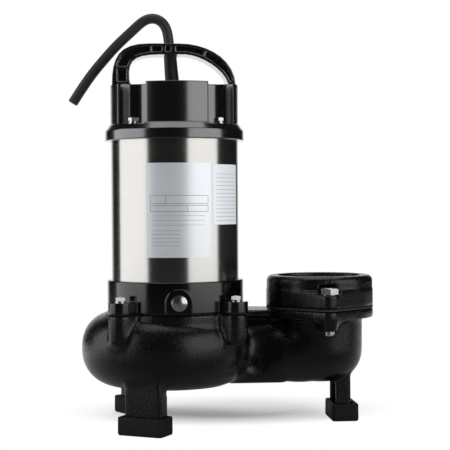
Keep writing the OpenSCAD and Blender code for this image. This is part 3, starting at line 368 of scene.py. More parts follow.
def relax(source, times, share=None):
    """Moves each point of an object half-way to the mean of its neighbours, times over.

    A share is a function that gives each point how much of that move it takes, from 0 to 1.
    """
    smooth = source.modifiers.new("Relax", "SMOOTH")
    smooth.factor = 0.5
    smooth.iterations = times
    if share is not None:
        group = source.vertex_groups.new(name="Relaxed")
        shares = np.round(share(vertex_rows(source.data, "co")), 1)
        for level in np.unique(shares):
            group.add(np.flatnonzero(shares == level).tolist(), float(level), "REPLACE")
        smooth.vertex_group = group.name
    take_shape(source)
    source.vertex_groups.clear()


def casting_skin(node, name, grid_size, rounds, material, fill=None, extra=()):
    """A casting's rounded skin, in the named material, which stands for its node.

    The node's own faces are merged, laid on an even grid of the given size and relaxed for some
    rounds, which rounds every corner and fills every inner corner as sand casting does. Then fill
    moves points of the mesh, and each extra (share, rounds) relaxes it again.
    """
    mesh = NODES[node].data.copy()
    merge_points(mesh, NODE_MERGE)
    source = new_object(name, mesh)
    even = source.modifiers.new("Even grid", "REMESH")
    even.mode = "VOXEL"
    even.voxel_size = grid_size
    take_shape(source)
    relax(source, rounds)
    if fill is not None:
        fill(source.data)
    for share, times in extra:
        relax(source, times, share)
    skin = source.data
    skin.name = name
    skin.materials.clear()
    skin.materials.append(bpy.data.materials[material])
    skin.shade_smooth()
    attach(source, "pump_body")
    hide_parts(node)
    return source


# ---- Shader nodes ----


def feed(tree, value, socket):
    """Sets a socket to a number, or links it to the socket that is given in its place."""
    if isinstance(value, (int, float)):
        socket.default_value = value
    else:
        tree.links.new(value, socket)


def noise(tree, vector, scale, detail, roughness=0.55):
    """Soft noise from 0 to 1."""
    made = tree.nodes.new("ShaderNodeTexNoise")
    made.inputs["Detail"].default_value = detail
    made.inputs["Roughness"].default_value = roughness
    feed(tree, scale, made.inputs["Scale"])
    feed(tree, vector, made.inputs["Vector"])
    return made.outputs["Fac"]


def calculate(tree, operation, first, second):
    """A Math node on two values, each a number or a socket."""
    made = tree.nodes.new("ShaderNodeMath")
    made.operation = operation
    feed(tree, first, made.inputs[0])
    feed(tree, second, made.inputs[1])
    return made.outputs[0]


def stretch_range(tree, value, low, high, to_low, to_high):
    """A value of low becomes to_low and one of high to_high, straight between and held beyond."""
    made = tree.nodes.new("ShaderNodeMapRange")
    feed(tree, value, made.inputs["Value"])
    ends = {"From Min": low, "From Max": high, "To Min": to_low, "To Max": to_high}
    for label, number in ends.items():
        made.inputs[label].default_value = number
    return made.outputs["Result"]


def split(tree, vector):
    """The X, Y and Z outputs of a vector."""
    made = tree.nodes.new("ShaderNodeSeparateXYZ")
    feed(tree, vector, made.inputs[0])
    return made.outputs


def ray_masks(tree):
    """The rays that come straight from the camera, and those by way of a gloss or clear piece."""
    rays = tree.nodes.new("ShaderNodeLightPath").outputs
    mirrored = calculate(tree, "MAXIMUM", rays["Is Glossy Ray"], rays["Is Transmission Ray"])
    return rays["Is Camera Ray"], mirrored


def white_light(tree, kind, strength):
    """A white emission or background."""
    made = tree.nodes.new(kind)
    made.inputs["Color"].default_value = (1, 1, 1, 1)
    feed(tree, strength, made.inputs["Strength"])
    return made.outputs[0]


def mix_shaders(tree, share, first, second):
    """The first shader where the share is 0 and the second where it is 1."""
    made = tree.nodes.new("ShaderNodeMixShader")
    for value, socket in zip((share, first, second), made.inputs):
        feed(tree, value, socket)
    return made.outputs[0]


# ---- Effects ----


def new_group(name, numbers, outputs):
    """A node group with a vector input, named numbers and named outputs, and its end nodes."""
    group = bpy.data.node_groups.new(name, "ShaderNodeTree")

    def socket(label, side, kind):
        return group.interface.new_socket(name=label, in_out=side, socket_type="NodeSocket" + kind)

    socket("Vector", "INPUT", "Vector")
    for label, value in numbers.items():
        socket(label, "INPUT", "Float").default_value = value
    for label in outputs:
        socket(label, "OUTPUT", "Float")
    start, end = group.nodes.new("NodeGroupInput"), group.nodes.new("NodeGroupOutput")
    return group, start.outputs, end.inputs


def sand_grain(name):
    """Fine noise less the rounded pits between cells, with broad cloudy patches as a mask."""
    group, start, end = new_group(name, {"Scale": 600.0, "Pits": 0.5}, ("Height", "Patches"))
    place, scale = start["Vector"], start["Scale"]
    cells = group.nodes.new("ShaderNodeTexVoronoi")
    cells.feature = "SMOOTH_F1"
    feed(group, place, cells.inputs["Vector"])
    feed(group, calculate(group, "MULTIPLY", scale, 0.8), cells.inputs["Scale"])
    pits = calculate(group, "MULTIPLY", cells.outputs["Distance"], start["Pits"])
    fine = noise(group, place, scale, 5.0, 0.6)
    feed(group, calculate(group, "SUBTRACT", fine, pits), end["Height"])
    feed(group, noise(group, place, calculate(group, "MULTIPLY", scale, 0.04), 3.0), end["Patches"])
    return group


def handled_film(name):
    """Two sizes of soft patches, added seven parts to three, and fine specks of dust."""
    group, start, end = new_group(name, {"Size": 30.0}, ("Patches", "Specks"))
    place, size = start["Vector"], start["Size"]
    broad = noise(group, place, size, 3.0)
    small = noise(group, place, calculate(group, "MULTIPLY", size, 9.0), 4.0)
    parts = (calculate(group, "MULTIPLY", broad, 0.7), calculate(group, "MULTIPLY", small, 0.3))
    feed(group, calculate(group, "ADD", *parts), end["Patches"])
    dust = noise(group, place, calculate(group, "MULTIPLY", size, 60.0), 2.0)
    feed(group, stretch_range(group, dust, 0.66, 0.74, 0.0, 1.0), end["Specks"])
    return group


def fine_lines(name):
    """Machined lines: noise drawn out along X and Y that stays fine along Z, and a slower tone."""
    group, start, end = new_group(name, {"Across": 4000.0, "Along": 20.0}, ("Height", "Tone"))
    parts = split(group, start["Vector"])
    packed = group.nodes.new("ShaderNodeCombineXYZ")
    for axis, rate in (("X", "Along"), ("Y", "Along"), ("Z", "Across")):
        feed(group, calculate(group, "MULTIPLY", parts[axis], start[rate]), packed.inputs[axis])
    feed(group, noise(group, packed.outputs[0], 1.0, 3.0, 0.7), end["Height"])
    slower = group.nodes.new("ShaderNodeVectorMath")
    slower.operation = "SCALE"
    feed(group, packed.outputs[0], slower.inputs[0])
    slower.inputs["Scale"].default_value = 0.15
    feed(group, noise(group, slower.outputs[0], 1.0, 2.0), end["Tone"])
    return group


EFFECTS = {"Sand grain": sand_grain, "Handled film": handled_film, "Fine lines": fine_lines}


def use_effect(tree, name, **values):
    """Places an effect, built at its first use, on Object coordinates, and gives its outputs."""
    made = tree.nodes.new("ShaderNodeGroup")
    made.node_tree = bpy.data.node_groups.get(name) or EFFECTS[name](name)
    place = tree.nodes.new("ShaderNodeTexCoord")
    feed(tree, place.outputs["Object"], made.inputs["Vector"])
    for label, value in values.items():
        made.inputs[label].default_value = value
    return made.outputs


# ---- Finishes ----


def finish(name, colour, roughness, metallic=0.0):
    """Makes a material whose shader holds the plain values, for effects to be laid on.

    Gives its node tree and the shader's inputs.
    """
    material = bpy.data.materials.new(name)
    material.use_nodes = True
    tree = material.node_tree
    shader = tree.nodes["Principled BSDF"]
    shader.inputs["Base Color"].default_value = (*colour, 1)
    shader.inputs["Roughness"].default_value = roughness
    shader.inputs["Metallic"].default_value = metallic
    return tree, shader.inputs


def vary_colour(tree, shader, mask, colour, dark, light):
    """Mixes the shader's colour by a mask, from a dark to a light share of the given one."""
    mix = tree.nodes.new("ShaderNodeMix")
    mix.data_type = "RGBA"
    # A Mix node's two colours are its inputs 6 and 7, and the mixed one its output 2
    for socket, share in zip(mix.inputs[6:8], (dark, light)):
        socket.default_value = (*(min(share * c, 1.0) for c in colour), 1)
    feed(tree, mask, mix.inputs[0])
    feed(tree, mix.outputs[2], shader["Base Color"])


def vary_roughness(tree, shader, mask, low, high, span=(0.3, 0.7)):
    """Moves the shader's roughness from low to high over the mask's usual span."""
    feed(tree, stretch_range(tree, mask, *span, low, high), shader["Roughness"])


def raise_bump(tree, shader, height, depth, strength):
    """Lays a height, of the given depth in metres, on the shader's normal."""
    bump = tree.nodes.new("ShaderNodeBump")
    bump.inputs["Strength"].default_value = strength
    bump.inputs["Distance"].default_value = depth
    feed(tree, height, bump.inputs["Height"])
    feed(tree, bump.outputs["Normal"], shader["Normal"])


def painted_casting(name, colour, grain_scale):
    """Black enamel over cast iron: the sand's grain shows through as a pebble that glitters."""
    tree, shader = finish(name, colour, 0.3)
    grain = use_effect(tree, "Sand grain", Scale=grain_scale, Pits=0.5)
    vary_colour(tree, shader, grain["Patches"], colour, 0.6, 1.6)
    vary_roughness(tree, shader, grain["Height"], 0.17, 0.34, span=(0.12, 0.42))
    raise_bump(tree, shader, grain["Height"], depth=0.0004, strength=0.42)


def gloss_moulding(name, colour, index, smooth):
    """Deep black with a clear gloss over it, faint handling marks and softened edges.

    The index of the gloss says how deep it looks, and smooth is its roughness.
    """
    tree, shader = finish(name, colour, smooth)
    shader["Coat Weight"].default_value = 1.0
    shader["Coat Roughness"].default_value = smooth
    shader["IOR"].default_value = index
    shader["Coat IOR"].default_value = index
    film = use_effect(tree, "Handled film", Size=26.0)
    vary_roughness(tree, shader, film["Patches"], smooth - 0.03, smooth + 0.06)
    vary_colour(tree, shader, film["Specks"], colour, 1, 6)
    edge = tree.nodes.new("ShaderNodeBevel")
    edge.samples = 8
    edge.inputs["Radius"].default_value = 0.0022
    feed(tree, edge.outputs[0], shader["Normal"])
    feed(tree, edge.outputs[0], shader["Coat Normal"])


def drawn_steel(name, colour):
    """Satin stainless tube: fine lines round it and slow changes of polish."""
    tree, shader = finish(name, colour, 0.17, metallic=1.0)
    lines = use_effect(tree, "Fine lines", Across=3200.0, Along=9.0)
    vary_colour(tree, shader, lines["Tone"], colour, 0.91, 1.04)
    vary_roughness(tree, shader, lines["Tone"], 0.15, 0.19)
    raise_bump(tree, shader, lines["Height"], depth=0.00002, strength=0.4)


def bright_metal(name, colour):
    """Machined bright metal with turning lines."""
    tree, shader = finish(name, colour, 0.22, metallic=1.0)
    lines = use_effect(tree, "Fine lines", Across=9000.0, Along=300.0)
    film = use_effect(tree, "Handled film", Size=240.0)
    vary_colour(tree, shader, film["Patches"], colour, 0.80, 1.12)
    vary_roughness(tree, shader, film["Patches"], 0.17, 0.28)
    raise_bump(tree, shader, lines["Height"], depth=0.000008, strength=0.3)


def moulded(name, colour, roughness, shine):
    """Matt rubber, or a plain moulding: a fine tooth from the mould and a chalky bloom in patches.

    The shine is its specular level.
    """
    tree, shader = finish(name, colour, roughness)
    shader["Specular IOR Level"].default_value = shine
    grain = use_effect(tree, "Sand grain", Scale=1500.0, Pits=0.2)
    film = use_effect(tree, "Handled film", Size=45.0)
    vary_colour(tree, shader, film["Patches"], colour, 0.85, 1.3)
    vary_roughness(tree, shader, film["Patches"], roughness - 0.1, roughness + 0.12)
    raise_bump(tree, shader, grain["Height"], depth=0.0002, strength=0.4)


def inner_metal(name, colour, roughness, grain_scale):
    """A cast or wound metal that is met inside the pump."""
    tree, shader = finish(name, colour, roughness, metallic=1.0)
    grain = use_effect(tree, "Sand grain", Scale=grain_scale, Pits=0.3)
    vary_roughness(tree, shader, grain["Patches"], roughness - 0.08, roughness + 0.12)
    raise_bump(tree, shader, grain["Height"], depth=0.0002, strength=0.4)


def label_film(name, colour, silver):
    """Bare satin film with faint clouds in its lacquer. Silver is how metallic it looks."""
    tree, shader = finish(name, colour, 0.33, metallic=silver)
    film = use_effect(tree, "Handled film", Size=60.0)
    vary_colour(tree, shader, film["Patches"], colour, 0.985, 1.01)
    vary_roughness(tree, shader, film["Patches"], 0.32, 0.35)


# ---- Properties ----


class PumpSizes(bpy.types.PropertyGroup):
    """Sizes of the pieces that the scene adds to the frame."""

    cord_diameter: bpy.props.FloatProperty(
        name="Cord diameter", description="Outside diameter of the power cord",
        default=0.0115, min=0.006, max=0.02, unit="LENGTH",
    )
    casting_fillet: bpy.props.IntProperty(
        name="Casting fillet",
        description="Rounds of relaxing that shape the fillets of the pump casing",
        default=7, min=1, max=30,
    )
    casting_grid: bpy.props.FloatProperty(
        name="Casting grid",
        description="Size of the even grid that the pump casing's skin is laid on",
        default=0.002, min=0.001, max=0.005, unit="LENGTH",
    )
    label_width: bpy.props.FloatProperty(
        name="Label width", description="Angle that the large label covers of the housing",
        default=math.radians(57.6), min=0.2, max=2.0, unit="ROTATION",
    )
    thread_pitch: bpy.props.FloatProperty(
        name="Thread pitch",
        description="Distance from one turn of the discharge thread to the next",
        default=0.003175, min=0.001, max=0.006, unit="LENGTH",
    )
    boot_corner: bpy.props.FloatProperty(
        name="Boot corner", description="Corner radius of a rubber boot seen from above",
        default=0.005, min=0.001, max=0.01, unit="LENGTH",
    )


class PumpColours(bpy.types.PropertyGroup):
    """Colours and grain of the pump's finishes."""

    casting: bpy.props.FloatVectorProperty(
        name="Casting", description="Enamel on the rough castings",
        default=(0.0022, 0.0022, 0.0023), min=0, max=1, subtype="COLOR",
    )
    moulding: bpy.props.FloatVectorProperty(
        name="Moulding", description="Gloss black of the head cover and the oil casing",
        default=(0.0008, 0.0009, 0.0012), min=0, max=1, subtype="COLOR",
    )
    stainless: bpy.props.FloatVectorProperty(
        name="Stainless", description="Drawn tube of the motor housing",
        default=(0.62, 0.61, 0.585), min=0, max=1, subtype="COLOR",
    )
    rubber: bpy.props.FloatVectorProperty(
        name="Rubber", description="Rubber of the boots",
        default=(0.0072, 0.0068, 0.0060), min=0, max=1, subtype="COLOR",
    )
    cord: bpy.props.FloatVectorProperty(
        name="Cord", description="Rubber of the cord and its relief",
        default=(0.0180, 0.0185, 0.0195), min=0, max=1, subtype="COLOR",
    )
    label: bpy.props.FloatVectorProperty(
        name="Label", description="Bare film of the two labels",
        default=(0.82, 0.855, 0.89), min=0, max=1, subtype="COLOR",
    )
    floor: bpy.props.FloatVectorProperty(
        name="Floor", description="Pale studio floor",
        default=(0.93, 0.94, 0.96), min=0, max=1, subtype="COLOR",
    )
    grain_scale: bpy.props.FloatProperty(
        name="Grain scale", description="Grains of the sand casting in a metre",
        default=640.0, min=50, max=5000,
    )


# ---- Camera and finishes ----

CAMERA_PLACE = (-0.13225, -1.475, 0.2453)
CAMERA_AHEAD = (0.0872, 0.9962, -0.015)
CAMERA_ROLL = math.radians(-0.36)
CAMERA_LENS, CAMERA_SENSOR = 104, 36  # millimetres
CAMERA_REACH = 30

# Finishes with set colours: name, colour, roughness, specular level
PLAIN_MOULDINGS = (
    ("Gasket rubber", (0.004, 0.004, 0.004), 0.7, 0.2),
    ("Sheet gasket", (0.020, 0.020, 0.020), 0.6, 0.3),
    ("Ceramic", (0.62, 0.59, 0.52), 0.3, 0.5),
    ("Carbon", (0.03, 0.03, 0.03), 0.35, 0.5),
    ("Label rules", (0.16, 0.165, 0.17), 0.4, 0.5),
)
# Metals inside the pump: name, colour, roughness, grains in a metre
INNER_METALS = (
    ("Lamination", (0.30, 0.31, 0.33), 0.5, 3000.0),
    ("Copper", (0.62, 0.27, 0.12), 0.35, 700.0),
    ("Aluminium", (0.62, 0.63, 0.64), 0.42, 700.0),
    ("Impeller iron", (0.07, 0.07, 0.075), 0.55, 600.0),
)
# Slots whose finish isn't called as they are
FINISH_OF_SLOT = {
    "cast_black": "Painted casting",
    "gloss_black": "Gloss moulding",
    "stainless": "Drawn steel",
    "bolt_steel": "Bright steel",
}
# Nodes that take another finish than their slot's
FINISH_OF_NODE = {"oil_casing": "Gloss enamel", "flange_gasket": "Sheet gasket"}


class PUMP_OT_camera(bpy.types.Operator):
    """Sets the camera a little left of the front, at the height of the labels"""

    bl_idname = "pump.camera"
    bl_label = "Camera"

    def execute(self, context):
        data = bpy.data.cameras.new("Camera")
        data.sensor_width = CAMERA_SENSOR
        data.lens = CAMERA_LENS
        data.clip_end = CAMERA_REACH
        camera = new_object("Camera", data)
        camera.location = CAMERA_PLACE
        ahead = Vector(CAMERA_AHEAD).normalized()
        turn = ahead.to_track_quat("-Z", "Y").to_matrix().to_4x4()
        turn = turn @ Matrix.Rotation(CAMERA_ROLL, 4, "Z")
        camera.matrix_world = Matrix.Translation(camera.location) @ turn
        context.scene.camera = camera
        return {"FINISHED"}


class PUMP_OT_finishes(bpy.types.Operator):
    """Makes the finishes and lays them on the frame's own pieces"""

    bl_idname = "pump.finishes"
    bl_label = "Finishes"

    def execute(self, context):
        colours = context.scene.pump_colours
        painted_casting("Painted casting", tuple(colours.casting), colours.grain_scale)
        gloss_moulding("Gloss moulding", tuple(colours.moulding), index=1.9, smooth=0.17)
        gloss_moulding("Gloss enamel", tuple(colours.moulding), index=1.45, smooth=0.15)
        drawn_steel("Drawn steel", tuple(colours.stainless))
        bright_metal("Bright steel", (0.66, 0.65, 0.63))
        bright_metal("Bronze", (0.50, 0.34, 0.16))
        moulded("Boot rubber", tuple(colours.rubber), 0.66, 0.2)
        moulded("Cord rubber", tuple(colours.cord), 0.42, 0.5)
        label_film("Label film", tuple(colours.label), silver=0.6)
        label_film("Label paper", tuple(colours.label), silver=0.15)
        for row in PLAIN_MOULDINGS:
            moulded(*row)
        for row in INNER_METALS:
            inner_metal(*row)
        for part in frame["record"]["subparts"]:
            node, slot = part["node"], part["material_slot"]
            same = slot.replace("_", " ").capitalize()
            name = FINISH_OF_NODE.get(node) or FINISH_OF_SLOT.get(slot, same)
            slots = NODES[node].data.materials
            slots.clear()
            slots.append(bpy.data.materials[name])
        return {"FINISHED"}


# ---- Cord ----

# The middle line of the relief and the cord, from the cover's ledge, where the relief comes out,
# over and down to the cord's cut end, in millimetres from the motor's axis and from that ledge
LEDGE = 0.3791
ROUTE = np.array([
    [0, 32, 0], [-1, 32, 13], [-2, 32, 26], [-2.9, 32, 39.5], [-3.8, 32, 50], [-4.8, 32, 59],
    [-6.4, 32, 67], [-9.5, 32, 73.3], [-14.4, 32, 77.9], [-21, 32, 80.3], [-28.6, 32, 79.3],
    [-36, 33, 75.0], [-45.1, 33, 66.4], [-56.3, 34, 56.3], [-67.5, 34, 45.2], [-78.8, 35, 32.4],
    [-90.9, 35, 18], [-102.2, 36, 2.2], [-113.9, 36, -16],
], float) * 0.001 + [*MOTOR, LEDGE]
ROUTE_STEPS, ROUTE_ROUNDS, RELIEF_STEPS = 10, 40, 12
# The relief reaches over this many stretches of the route, and starts this far under the ledge
RELIEF_POINTS, RELIEF_FOOT = 3, 0.010
# The relief's radius at its foot, how much of it is gone at its head, and its rounded last edge
RELIEF_RADIUS, RELIEF_TAPER, RELIEF_EDGE = 0.0084, 0.0012, (0.0002, 0.0008)
# The cut end's edge: how far two last rings stand beyond the path, and how much of the cord's
# radius they lack
CUT_BEYOND, CUT_LACK = (0.0004, 0.0006), (0.18, 0.432)


class PUMP_OT_cord(bpy.types.Operator):
    """Adds the power cord and the tapered relief at its foot"""

    bl_idname = "pump.cord"
    bl_label = "Power cord"

    def execute(self, context):
        radius = context.scene.pump_sizes.cord_diameter / 2
        line = even_out(smooth_path(ROUTE, ROUTE_STEPS), ROUTE_ROUNDS)
        path = line[RELIEF_POINTS * ROUTE_STEPS:]
        beyond = path[-1] + np.outer(CUT_BEYOND, unit(path[-1] - path[-2]))
        radii = radius * (1 - np.concatenate([np.zeros(len(path)), CUT_LACK]))
        grid = carry(np.concatenate([path, beyond]), radii)
        cord = add_piece("cord_jacket", [tube(grid)], "Cord rubber", outwards=True)
        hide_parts("power_cord")
        foot = ROUTE[:1] - [0, 0, RELIEF_FOOT]
        stem = smooth_path(np.concatenate([foot, ROUTE[:RELIEF_POINTS + 1]]), RELIEF_STEPS)
        taper = RELIEF_RADIUS - RELIEF_TAPER * np.linspace(0, 1, len(stem))
        taper[-2:] -= RELIEF_EDGE
        grid = carry(stem, taper)
        relief = add_piece("cord_relief", [tube(grid)], "Cord rubber", outwards=True)
        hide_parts("strain_relief")
        return {"FINISHED"}


# ---- Castings ----

FLANGE_GRID, FLANGE_ROUNDS = 0.0014, 4
BELLY_ROUNDS, ELBOW_ROUNDS = 24, 200
# Heights at which a zone begins, is whole, begins to fade and ends
BELLY_HEIGHTS = (0.046, 0.054, 0.102, 0.112)
ELBOW_HEIGHTS = (0.046, 0.056, 0.094, 0.106)
KEEL_HEIGHTS = (0.046, 0.054, 0.092, 0.104)
# The same along x, from the motor towards the outlet
ELBOW_ACROSS = (MOTOR[0] + 0.064, MOTOR[0] + 0.078, OUTLET[0] - 0.015, OUTLET[0] + 0.010)
KEEL_ACROSS = MOTOR[0] + np.array([0.070, 0.080, 0.108, 0.130])
# How far to the side of the outlet's axis the elbow's zone begins and is whole
ELBOW_BESIDE = (0.012, 0.024)
# The line over the keel: the y of its foot, how far it climbs back, and between which heights
KEEL_FOOT, KEEL_CLIMB, CLIMB_HEIGHTS = MOTOR[1] - 0.0125, 0.0085, (0.056, 0.096)
# It draws only points in front of this y, and by how far their normal's y goes from the first
# number to the second
KEEL_BACK, KEEL_FACING = MOTOR[1] + 0.008, (-0.1, -0.35)
POST_RADIUS = 0.016


def ramp(value, start, end):
    """0 at start, 1 at end, straight between them and held beyond."""
    return np.clip((value - start) / (end - start), 0, 1)


def plateau(value, begin, whole, fade, end):
    """0 up to begin and from end on, 1 from whole to fade, straight between them."""
    return ramp(value, begin, whole) * ramp(value, end, fade)


def belly_share(points):
    """How much of the further relaxing a point of the casing takes.

    All of it on the belly and the elbow, none on the legs below them, on the flange, the bosses
    and the posts above, or round the post of the bolt that stands furthest right and in front.
    """
    x, y, z = points.T
    post = max(bolt_places("casing_bolts"), key=lambda place: place[0] - place[1])
    near_post = np.exp(-((np.hypot(x - post[0], y - post[1]) / POST_RADIUS) ** 4))
    return plateau(z, *BELLY_HEIGHTS) * (1 - near_post)


def elbow_share(points):
    """How much of the last relaxing a point takes.

    All of it low down between the belly and the elbow, where one flows into the other.
    """
    x, y, z = points.T
    beside = ramp(np.abs(y - OUTLET[1]), *ELBOW_BESIDE)
    return plateau(x, *ELBOW_ACROSS) * plateau(z, *ELBOW_HEIGHTS) * beside


def fill_over_keel(mesh):
    """Fills the hollow over the keel, between the belly and the elbow.

    An outer point there that faces the front moves out to a line that climbs from the keel's
    side to the elbow's.
    """
    points = vertex_rows(mesh, "co")
    facing = vertex_rows(mesh, "normal")[:, 1]
    x, y, z = points.T
    line = KEEL_FOOT + KEEL_CLIMB * ramp(z, *CLIMB_HEIGHTS)
    zone = plateau(x, *KEEL_ACROSS) * plateau(z, *KEEL_HEIGHTS) * (y < KEEL_BACK)
    points[:, 1] += zone * ramp(facing, *KEEL_FACING) * np.minimum(line - y, 0)
    move_points(mesh, points)


class PUMP_OT_castings(bpy.types.Operator):
    """Adds the filleted skins of the castings"""

    bl_idname = "pump.castings"
    bl_label = "Castings"

    def execute(self, context):
        sizes = context.scene.pump_sizes
        casing = casting_skin(
            "volute_casing", "casing_skin", sizes.casting_grid, sizes.casting_fillet,
            "Painted casting", fill_over_keel,
            ((belly_share, BELLY_ROUNDS), (elbow_share, ELBOW_ROUNDS)),
        )
        flange = casting_skin(
            "discharge_flange", "flange_skin", FLANGE_GRID, FLANGE_ROUNDS, "Painted casting"
        )
        return {"FINISHED"}


# Radii of the thread's crest and root, and of the back of its lining
THREAD_CREST, THREAD_ROOT, THREAD_WALL = 0.0430, 0.0449, 0.0462
# The plain mouth over the thread, and how far the lining stands clear of the bore's two ends
MOUTH_DEPTH, END_GAP = 0.005, 0.0002
# How far the lining's back reaches into the flange's skin
SKIN_OVERLAP = 0.0006


class PUMP_OT_discharge_thread(bpy.types.Operator):
    """Widens the bore of the flange's skin and lines it with a pipe thread"""

    bl_idname = "pump.discharge_thread"
    bl_label = "Discharge thread"

    def execute(self, context):
        skin = bpy.data.objects["flange_skin"].data
        points = vertex_rows(skin, "co")
        out = points[:, :2] - OUTLET
        radius = np.linalg.norm(out, axis=1, keepdims=True)
        points[:, :2] = OUTLET + out * np.maximum(THREAD_WALL - SKIN_OVERLAP, radius) / radius
        move_points(skin, points)
        low, top = extent("discharge_flange", 2)
        pitch = context.scene.pump_sizes.thread_pitch
        grid = thread_liner(low + END_GAP, top - MOUTH_DEPTH + END_GAP, pitch)
        ring = (grid, (True, True), (False, False))
        liner = add_piece("discharge_thread", [ring], "Painted casting", crease=30, outwards=True)
        return {"FINISHED"}


# ---- Bolts, boots and labels ----

# No point of a bolt is this far from another, and no two bolts of a set stand this near
BOLT_REACH = 0.025
# Each set of bolts: the width across a head's flats, the head's height, the shank's radius, and
# how far each head is turned, in radians, counted along x and then y
BOLT_SETS = {
    "cover_bolts": (0.010, 0.0040, 0.0025, (0.646, 0.75, 0.911, 0.1)),
    "casing_bolts": (0.010, 0.0045, 0.0030, (0.0, 0.7, 0.951, 0.5)),
    "flange_bolts": (0.019, 0.0075, 0.0060, (0.016, 0.016)),
}


class PUMP_OT_bolts(bpy.types.Operator):
    """Adds the hexagon bolts of the cover, the casing and the flange"""

    bl_idname = "pump.bolts"
    bl_label = "Hexagon bolts"

    def execute(self, context):
        for node, (across, head, shank, turns) in BOLT_SETS.items():
            places = sorted(bolt_places(node), key=lambda place: (round(place[0], 4), place[1]))
            sheets = [
                tube(hex_bolt(place, across, head, shank, turned))
                for place, turned in zip(places, turns, strict=True)
            ]
            bolts = add_piece(node + "_steel", sheets, "Bright steel", crease=20)
            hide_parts(node)
        return {"FINISHED"}


# Where the lines of the three legs meet
LEGS_MEET = OUTLET + [-0.1540, 0]
BOOT_WIDTH, BOOT_LENGTH, BOOT_HEIGHT = 0.0308, 0.0542, 0.020
BOOT_LEAST_CORNER = 0.0008
# Inset from the outer face and height, from under the sole up, over the lip and down inside
BOOT_SECTION = (
    (0.0040, 0.0000), (0.0012, 0.0004), (0.0004, 0.0014), (0.0000, 0.0030), (0.0001, 0.0100),
    (0.0002, 0.0182), (0.0004, 0.0192), (0.0010, 0.0198), (0.0020, 0.0200), (0.0040, 0.0200),
    (0.0048, 0.0197), (0.0050, 0.0188), (0.0050, 0.0052),
)


class PUMP_OT_boots(bpy.types.Operator):
    """Adds the three rubber boots, each a rounded cup"""

    bl_idname = "pump.boots"
    bl_label = "Rubber boots"

    def execute(self, context):
        corner = context.scene.pump_sizes.boot_corner
        for node in ("foot_boot_front", "foot_boot_back", "foot_boot_outlet"):
            cup = tube(boot_cup(node, corner))
            boot = add_piece(node + "_rubber", [cup], "Boot rubber", crease=50)
            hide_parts(node)
        return {"FINISHED"}


# How far a label's face and its rules stand over the housing, and its back inside the tube's face
FILM_LIFT, RULE_LIFT, FILM_BACK = 0.00022, 0.00027, 0.0001
# The middle of the large label, as an angle from the front
LABEL_TURN = math.radians(1.4)
# The two labels' lower and upper ends and corner radius, the small one's width, and the gap
LARGE_HEIGHTS, SMALL_HEIGHTS, LABEL_CORNER = (0.1898, 0.2914), (0.2247, 0.2900), 0.0015
SMALL_WIDTH, LABEL_GAP = 0.0446, 0.0031
# The strokes of their rules, and the rules' corner radius
THICK, THIN, RULE_CORNER = 0.0005, 0.0003, 0.0001
# The large label's empty form: cells of a table, then blank lines. Each row is the middles of its
# rules along the arc, their length along it, their lower ends and their height
FORM = (
    ((0,), 0.0640, (0.2560, 0.2474, 0.2453, 0.2389), THICK),
    ((-0.0320, -0.0151, 0.0320), THICK, (0.2474,), 0.0086),
    ((-0.0320, 0.0085, 0.0320), THICK, (0.2389,), 0.0064),
    ((0,), 0.0560, (0.2345, 0.2295, 0.2245), THIN),
    ((-0.0150,), 0.0320, (0.2185, 0.2145, 0.2105, 0.2065, 0.2025), THIN),
)
# The small label's blank lines, in the same way
LINES = (((0,), 0.0380, np.arange(0.2290, 0.2800, 0.0042), THIN),)


class PUMP_OT_labels(bpy.types.Operator):
    """Adds two bare film labels that lie on the stainless housing"""

    bl_idname = "pump.labels"
    bl_label = "Bare labels"

    def execute(self, context):
        width = context.scene.pump_sizes.label_width * SHELL_R
        front = -TURN / 4 + LABEL_TURN
        beside = front + (width / 2 + LABEL_GAP + SMALL_WIDTH / 2) / SHELL_R
        large = (front, width, *LARGE_HEIGHTS, LABEL_CORNER, FILM_LIFT)
        small = (beside, SMALL_WIDTH, *SMALL_HEIGHTS, LABEL_CORNER, FILM_LIFT)
        rules = [
            (start + x / SHELL_R, length, low, low + height, RULE_CORNER, RULE_LIFT)
            for start, rows in ((front, FORM), (beside, LINES))
            for middles, length, lows, height in rows
            for x in middles
            for low in lows
        ]
        for name, material, patches in (
            ("label_large", "Label film", [large]),
            ("label_small", "Label paper", [small]),
            ("label_rules", "Label rules", rules),
        ):
            label = add_piece(name, [tube(film_patch(*patch)) for patch in patches], material)
        return {"FINISHED"}


# ---- Studio ----

FLOOR_RADII, FLOOR_STEPS = np.concatenate([[0.001], np.linspace(0.1, 1.5, 8)]), 64
# The lit part of the floor: its middle, its depth for a width of 1, the distances at which the
# camera begins to see white there and sees nothing else, and the least share of that white
LIT_MIDDLE, LIT_DEPTH = (0.01, 0.085, 0), 0.62
LIT_SPAN, LEAST_WHITE = (0.09, 0.20), 0.10
# Mirrored rays see the floor as a dim grey in front of the first y, and as it is behind the second
DIM_FLOOR, DIM_SPAN = 0.11, (-0.15, 0.35)
# How far back a mirrored ray points, as the y of its direction, where it begins to see the white
# surround and where it sees nothing else
BEHIND_SPAN = (0.86, 0.97)
# The even light of the surround, and what mirrored rays see of it
EVEN_LIGHT, DIM_ROOM = 0.62, 0.010
# The camera's side of the motor, in degrees from -Y
FRONT_TURN = -2.8
# Each upright soft box: degrees round from that side, distance, strength, width
UPRIGHT_BOXES = {
    "left_softbox": (-82, 1.5, 1.4, 1.95),
    "right_softbox": (52, 1.7, 1.35, 1.9),
}
BOX_HEIGHT, BOX_TALL = 0.74, 1.5
# The square soft box overhead, looking straight down
TOP_PLACE, TOP_STRENGTH, TOP_SIZE = (0, 0.2, 1.9), 1.25, 1.8


